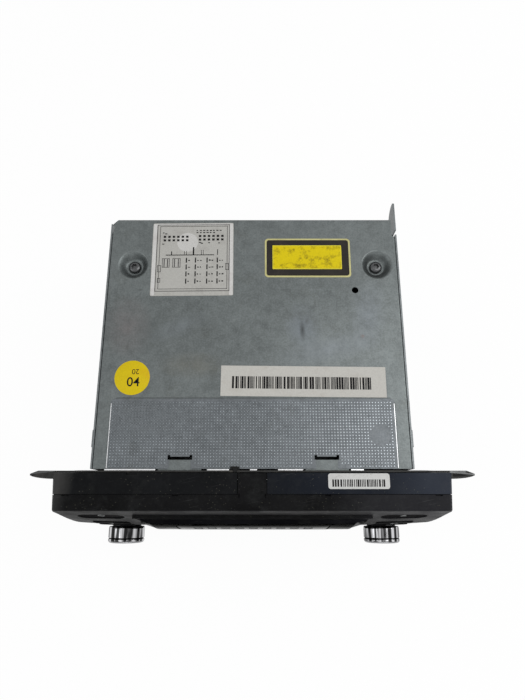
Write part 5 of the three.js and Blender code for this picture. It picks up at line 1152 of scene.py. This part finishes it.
def makeKey(name):
    x, z, width, height, corner, rise = faceControls[name]
    front, back = face["rim"] - rise, -18.9
    corner = min(corner, height / 2 - 0.02)
    cap = eased(plate(frontBox(x, z, width, height, front, back), 1, corner, 0, 7), front, 0.55, 3)
    flange = plate(frontBox(x, z, width + 2, height + 2, -20.1, back), 1, corner)
    stem = plate(frontBox(x, z, 3, 3, -19.5, -15.5), 1, 0.4)
    piece(f"key_{name}", gathered(onFace(cap, -21), flange, stem), keyPlastic, keyBodies[name], [name])


def faceMark(name, *shapes):
    # a printed sign that lies on a key and moves with it; shapes are drawn about its middle
    x, z, *_, rise = faceControls[name]
    bm = onFace(shifted(gathered(*shapes), (x, face["rim"] - rise, z)))
    piece(f"mark_{name}", bm, whiteInk, keyBodies[name], even=False)


def arrowSign(x, z, size, turn):
    return turned(rotated(rod(size, -0.05, 0.05, steps=3), turn), 1, (x, 0, z))


def barSign(x0, x1, z0, z1):
    return block(x0, x1, -0.05, 0.05, z0, z1)


def numberSign(words, size, weight=0.0):
    data = bpy.data.curves.new("number", "FONT")
    data.body = words
    data.size = size
    data.align_x = data.align_y = "CENTER"
    data.extrude = 0.05
    data.offset = weight
    bm = applied(linked("number", data))
    bmesh.ops.remove_doubles(bm, verts=bm.verts, dist=0.0001)
    return bm


makeFascia()
makeFaceBlock()
makeBezel()
for name in faceControls:
    makeKey(name)
for number in range(1, 7):
    faceMark(f"preset_button_{number}", turned(numberSign(str(number), 4.6), 1))
ring = spun([(1.55, -0.05), (1.55, 0.05), (2.0, 0.05), (2.0, -0.05)], 28, closed=True)
faceMark("power_button", turned(ring, 1), barSign(-0.25, 0.25, 0.6, 2.7))
faceMark("eject_button", arrowSign(0, 0.4, 1.9, 0), barSign(-1.65, 1.65, -1.9, -1.25))
faceMark("side_key_left_upper", arrowSign(0, 0, 1.6, 90))
faceMark("side_key_left_lower", arrowSign(0, 0, 1.6, -90))
faceMark("side_key_right_upper", arrowSign(-1.3, 0, 1.5, 0), arrowSign(1.2, 0, 1.5, 0))
faceMark("side_key_right_lower", *[barSign(-2, 2, middle - 0.3, middle + 0.3) for middle in (1.2, 0, -1.2)])
print("front shells and keys made")


# Display pane, felt and knobs
def makePane():
    front, half, base, top = face["rim"] - pane["rise"], pane["half"], pane["base"], pane["top"]
    bm = eased(plate((-half, half, front, front + pane["thick"], base, top), 1, 1.6), front, 0.4, 2)
    piece("display_pane", onFace(gridded(bm, 6, -half, half, base, top)), paneGlass, nodes=["display_window"])
    # dead segments of the display, seen on the pane
    segments, side, rise = [], 2.3, pane["digitHeight"] / 2
    for i in range(pane["digits"]):
        x = (i - (pane["digits"] - 1) / 2) * pane["pitch"]
        segments += [frontBox(x, (base + top) / 2 + up, 3.8, 0.7, -0.03, 0.02) for up in (rise, 0, -rise)]
        segments += [frontBox(x + across, (base + top) / 2 + up, 0.7, 4.2, -0.03, 0.02)
                     for up in (rise / 2, -rise / 2) for across in (-side, side)]
    shown = onFace(shifted(copies(block, segments), (0, front, 0)))
    piece("display_segments", shown, ghostInk, even=False)


def makeFelt():
    # two soft lips with a narrow slit between them
    lips = combined(plate(discSlot["felt"], 1, 0.6), [plate(discSlot["slit"], 1, 0.3)])
    piece("felt_lips", lips, felt, nodes=["slot_felt"])


def makeKnob(name, x, z):
    cap = spun(knobShape["outline"], 96)
    bm = turned(gathered(cap, rod(knobShape["stem"], knobShape["stemEnd"], 36)), 1, (x, 0, z))
    grooveStart, grooveEnd = knobShape["groove"]
    for facet in bm.faces:
        forward = -facet.calc_center_median().y
        facet.material_index = 2 if grooveStart < forward < grooveEnd else int(forward > knobShape["faceFrom"])
    piece(f"{name}_cap", bm, [chromePaintedStreaks, chromeFace, keyPlastic], f"{name}_dial", [f"{name}_knob"],
          smooth=40)
    low, high = knobShape["pointer"]
    pointer = plate((x - 0.45, x + 0.45, -43.32, -43.1, z + low, z + high), 1, 0.4, 0.08)
    piece(f"{name}_pointer", pointer, keyPlastic, f"{name}_dial")


knobSeat = {"radius": 11.4, "front": 32.45, "collar": 9.3, "collarFront": 33.6, "bore": 2.2, "back": 29.5}


def makeKnobSeat(name, x, z):
    # a round boss on the face with a collar that stands inside the hollow back of the knob
    boss = rod(knobSeat["radius"], knobSeat["back"], knobSeat["front"], (x, 0, z), 1, 64, 0.25)
    collar = rod(knobSeat["collar"], knobSeat["back"] + 1, knobSeat["collarFront"], (x, 0, z), 1, 48, 0.3)
    bore = rod(knobSeat["bore"], knobSeat["back"] - 1, knobSeat["collarFront"] + 1, (x, 0, z), 1, 24)
    piece(f"{name}_seat", combined(combined(boss, [collar], "UNION"), [bore]), facePlastic)


makePane()
makeFelt()
for name, side in (("volume", -1), ("tune", 1)):
    makeKnob(name, side * knobShape["x"], knobShape["z"])
    makeKnobSeat(name, side * knobShape["x"], knobShape["z"])
print("pane, felt and knobs made")


# Stickers
stickers = {"thick": 0.12, "ink": 0.03}
coverTop = cover["top"]
inkTop = coverTop + stickers["thick"]


def sticker(name, box, material, corner, turn=0.0, layer=0.0):
    x0, x1, y0, y1 = box
    base = coverTop + layer
    bm = plate((x0, x1, y0, y1, base, base + stickers["thick"]), 2, corner, 0.04, 5, 1)
    rotated(bm, turn, "Z", ((x0 + x1) / 2, (y0 + y1) / 2, 0))
    piece(name, bm, material, even=False)


def inkBoxes(name, boxes, z=inkTop, material=blackInk, turn=0.0, centre=(0, 0)):
    bm = gathered(*[block(x0, x1, y0, y1, z, z + stickers["ink"]) for x0, x1, y0, y1 in boxes])
    piece(name, rotated(bm, turn, "Z", (*centre, 0)), material, even=False)


def frameLines(x0, x1, y0, y1, width):
    return [(x0, x1, y0, y0 + width), (x0, x1, y1 - width, y1), (x0, x0 + width, y0, y1), (x1 - width, x1, y0, y1)]


def barStripes(seed, x, end, y0, y1, widths, gaps):
    # black stripes in widths and gaps drawn by lot
    chooser = Random(seed)
    stripes = []
    while x < end:
        width = chooser.choice(widths)
        stripes.append((x, x + width, y0, y1))
        x += width + chooser.choice(gaps)
    return stripes


wiring = {
    "box": (-63.9, -12.6, 104.1, 154), "turn": 0.5, "centre": (-38, 129), "corner": 1.0,
    "frames": ((-61.2, -15.0, 107.0, 153.0, 0.42), (-59.4, -16.4, 108.5, 151.9, 0.34), (-60.2, -57.9, 120, 124.6, 0.36),
               (-59.9, -58, 113, 116, 0.36), (-17.6, -15.4, 121.2, 125.7, 0.36)),
    "dotRows": ((-56.2, (144.4, 141.9)), (-33.9, (144.8, 142.3))), "dotPitch": 2.84, "dotHalf": (0.78, 0.72),
    "bus": (-55.2, -24.8, 131.35, 131.9),
    "busDrops": ((-51.6, 134.2, 0.6), (-43.4, 134.4, 0.3), (-42.2, 134.4, 0.3), (-37.8, 137, 0.9), (-32.8, 135, 0.3),
                 (-31.6, 135, 0.3), (-22.6, 135.4, 0.5)),
    "coils": ((-57.3, -52.6), (-50.8, -45.8)),
    "columns": (-36.4, -29.1, -22.7, -42.1), "rows": (128, 123.4, 118.7, 113.8),
    "looseMarks": ((-57.6, 146.9), (-56.2, 146.2), (-57.8, 139), (-34.6, 140), (-33.4, 139.4), (-28.6, 139.8),
                   (-22.4, 139.6)),
    "blot": (-41.8, 140.4, 6.6),
}


def wiringMarks():
    # short marks beside the bars and over the dots; they stand for print, and no letter is drawn
    chooser = Random(7)
    marks = []
    for x in wiring["columns"]:
        for row in wiring["rows"]:
            for part in range(2 if x > -40 else 1):
                start = x + 1.1 + part * 1.7
                marks.append((start, start + chooser.uniform(0.7, 1.3), row - 0.5, row + chooser.uniform(0, 0.5)))
    for i in range(14):
        start = -36.2 + (i % 8) * 2.1
        row = 148.4 if i < 8 else 146.9
        marks.append((start, start + chooser.uniform(0.8, 1.5), row, row + 0.65))
    for x, row in wiring["looseMarks"]:
        marks.append((x, x + chooser.uniform(0.9, 1.6), row, row + 0.6))
    return marks


def wiringSticker():
    x0, x1, y0, y1 = wiring["box"]
    turn, centre = wiring["turn"], wiring["centre"]
    sticker("wiring_sticker", wiring["box"], wiringPaper, wiring["corner"], turn)
    margins = [(x0 + 0.3, x0 + 2.5, y0 + 0.4, y1 - 0.5), (x1 - 2.6, x1 - 0.3, y0 + 0.4, y1 - 0.5),
               (x0 + 2.5, x1 - 2.6, y1 - 1.5, y1 - 0.5)]
    inkBoxes("wiring_margins", margins, inkTop - 0.01, marginPaper, turn, centre)
    wide, tall = wiring["dotHalf"]
    dots = [(x - wide, x + wide, row - tall, row + tall) for start, rows in wiring["dotRows"] for row in rows
            for x in [start + i * wiring["dotPitch"] for i in range(6)]]
    bars = [(x - 0.38, x + 0.38, row - 1.7, row + 1.7) for x in wiring["columns"] for row in wiring["rows"]]
    bus = [wiring["bus"]] + [(x - wide / 2, x + wide / 2, 131.6, top) for x, top, wide in wiring["busDrops"]]
    lines = [line for frameBox in wiring["frames"] for line in frameLines(*frameBox)]
    for low, high in wiring["coils"]:
        lines += frameLines(low, high, 123.1, 129.4, 0.36)
        lines += [(low + 1.0, low + 1.6, 123.6, 128.9), (high - 1.6, high - 1.0, 123.6, 128.9)]
    inkBoxes("wiring_print", dots + bars + bus + wiringMarks(), inkTop, blackInk, turn, centre)
    inkBoxes("wiring_lines", lines, inkTop, greyInk, turn, centre)
    blotX, blotY, radius = wiring["blot"]
    blot = rod(radius, inkTop - 0.03, inkTop + 0.012, (blotX, blotY, 0), 2, 40)
    piece("wiring_blot", blot, blotPaper, even=False)


# box, finish, corner and how many sheets lie under it
yellowLayers = {
    "yellow_edge": ((7.2, 61, 116.4, 143), creamPaper, 2.2, 0),
    "yellow_band": ((8.3, 59.9, 117.5, 141.9), darkBand, 1.6, 1),
    "yellow_rim": ((12, 55.4, 121.8, 138.2), yellowLine, 0.5, 2),
    "yellow_field": ((12.6, 54.8, 122.4, 137.6), yellowFilm, 0.4, 2.4),
}
barcode = {"box": (-18.8, 78.2, 41, 59.3), "turn": -0.6, "centre": (29.7, 50.15), "stripes": (-12.2, 69.6, 45.6, 52.9),
           "widths": (0.45, 0.45, 0.65, 1.2), "gaps": (0.24, 0.3, 0.36, 0.85), "seed": 11}
roundLabel = {"centre": (-71, 52.4, 0), "radius": 10.4, "numbers": (("04", 7.8, 0.05, 0, -70.2, 49.6),
                                                                   ("20", 4.4, 0, 180, -69.2, 56.2))}
bezelLabel = {"box": (42, 76, -11, -2.6), "stripes": (44.2, 73.6, -9.8, -5.9), "widths": (0.45, 0.6, 0.95),
              "gaps": (0.32, 0.45, 0.7), "seed": 5}


def barcodeSticker():
    sticker("barcode_sticker", barcode["box"], whitePaper, 0.3, barcode["turn"])
    stripes = barStripes(barcode["seed"], *barcode["stripes"], barcode["widths"], barcode["gaps"])
    inkBoxes("barcode_stripes", stripes, turn=barcode["turn"], centre=barcode["centre"])


def roundSticker():
    bm = rod(roundLabel["radius"], coverTop, inkTop, roundLabel["centre"], 2, 64, 0.04)
    piece("yellow_round", bm, yellowDot, even=False)
    signs = []
    for words, size, weight, turn, x, y in roundLabel["numbers"]:
        sign = rotated(numberSign(words, size, weight), turn)
        bmesh.ops.scale(sign, vec=(1, 1, 0.3), verts=sign.verts)
        signs.append(shifted(sign, (x, y, inkTop)))
    piece("round_number", gathered(*signs), blackInk, even=False)


def bezelSticker():
    z = face["top"]
    bm = plate((*bezelLabel["box"], z - 0.02, z + 0.1), 2, 1.4, 0.03, 5, 1)
    piece("bezel_sticker", bm, bezelPaper, even=False)
    stripes = barStripes(bezelLabel["seed"], *bezelLabel["stripes"], bezelLabel["widths"], bezelLabel["gaps"])
    inkBoxes("bezel_stripes", stripes, z + 0.1)


wiringSticker()
for name, (box, material, corner, sheets) in yellowLayers.items():
    sticker(name, box, material, corner, layer=sheets * stickers["thick"])
barcodeSticker()
roundSticker()
bezelSticker()
print("stickers made")


# Finishes for the inner pieces that keep their CAD shape
innerFinishes = {
    greenBoard: ["main_board", "keypad_board"],
    chipPlastic: ["amplifier_chip"],
    brightSteel: ["tuner_can", "loading_motor", "spindle_motor", "sled_motor", "guide_rod_front", "guide_rod_rear",
                  "turntable"],
    displayGrey: ["display_module"],
    dullSteel: ["volume_encoder", "tune_encoder"],
    gearPlastic: ["volume_plunger", "tune_plunger", "roller_gear", "idler_gear", "motor_pinion", "sled_gear",
                  "sled_pinion"],
    zincSteel: ["deck_cradle", "deck_base"],
    rubber: ["damper_front_left", "damper_front_right", "damper_rear_left", "damper_rear_right", "loading_roller"],
    keyPlastic: ["disc_guide", "clamp_puck", "laser_sled"],
    lensGlass: ["objective_lens"],
    plateSteel: ["clamp_arm"],
}
for finish, names in innerFinishes.items():
    for name in names:
        mesh = cadNodes[name].data
        if not mesh.materials:
            mesh.materials.append(finish)
        for index in range(len(mesh.materials)):
            mesh.materials[index] = finish
print("inner pieces finished")
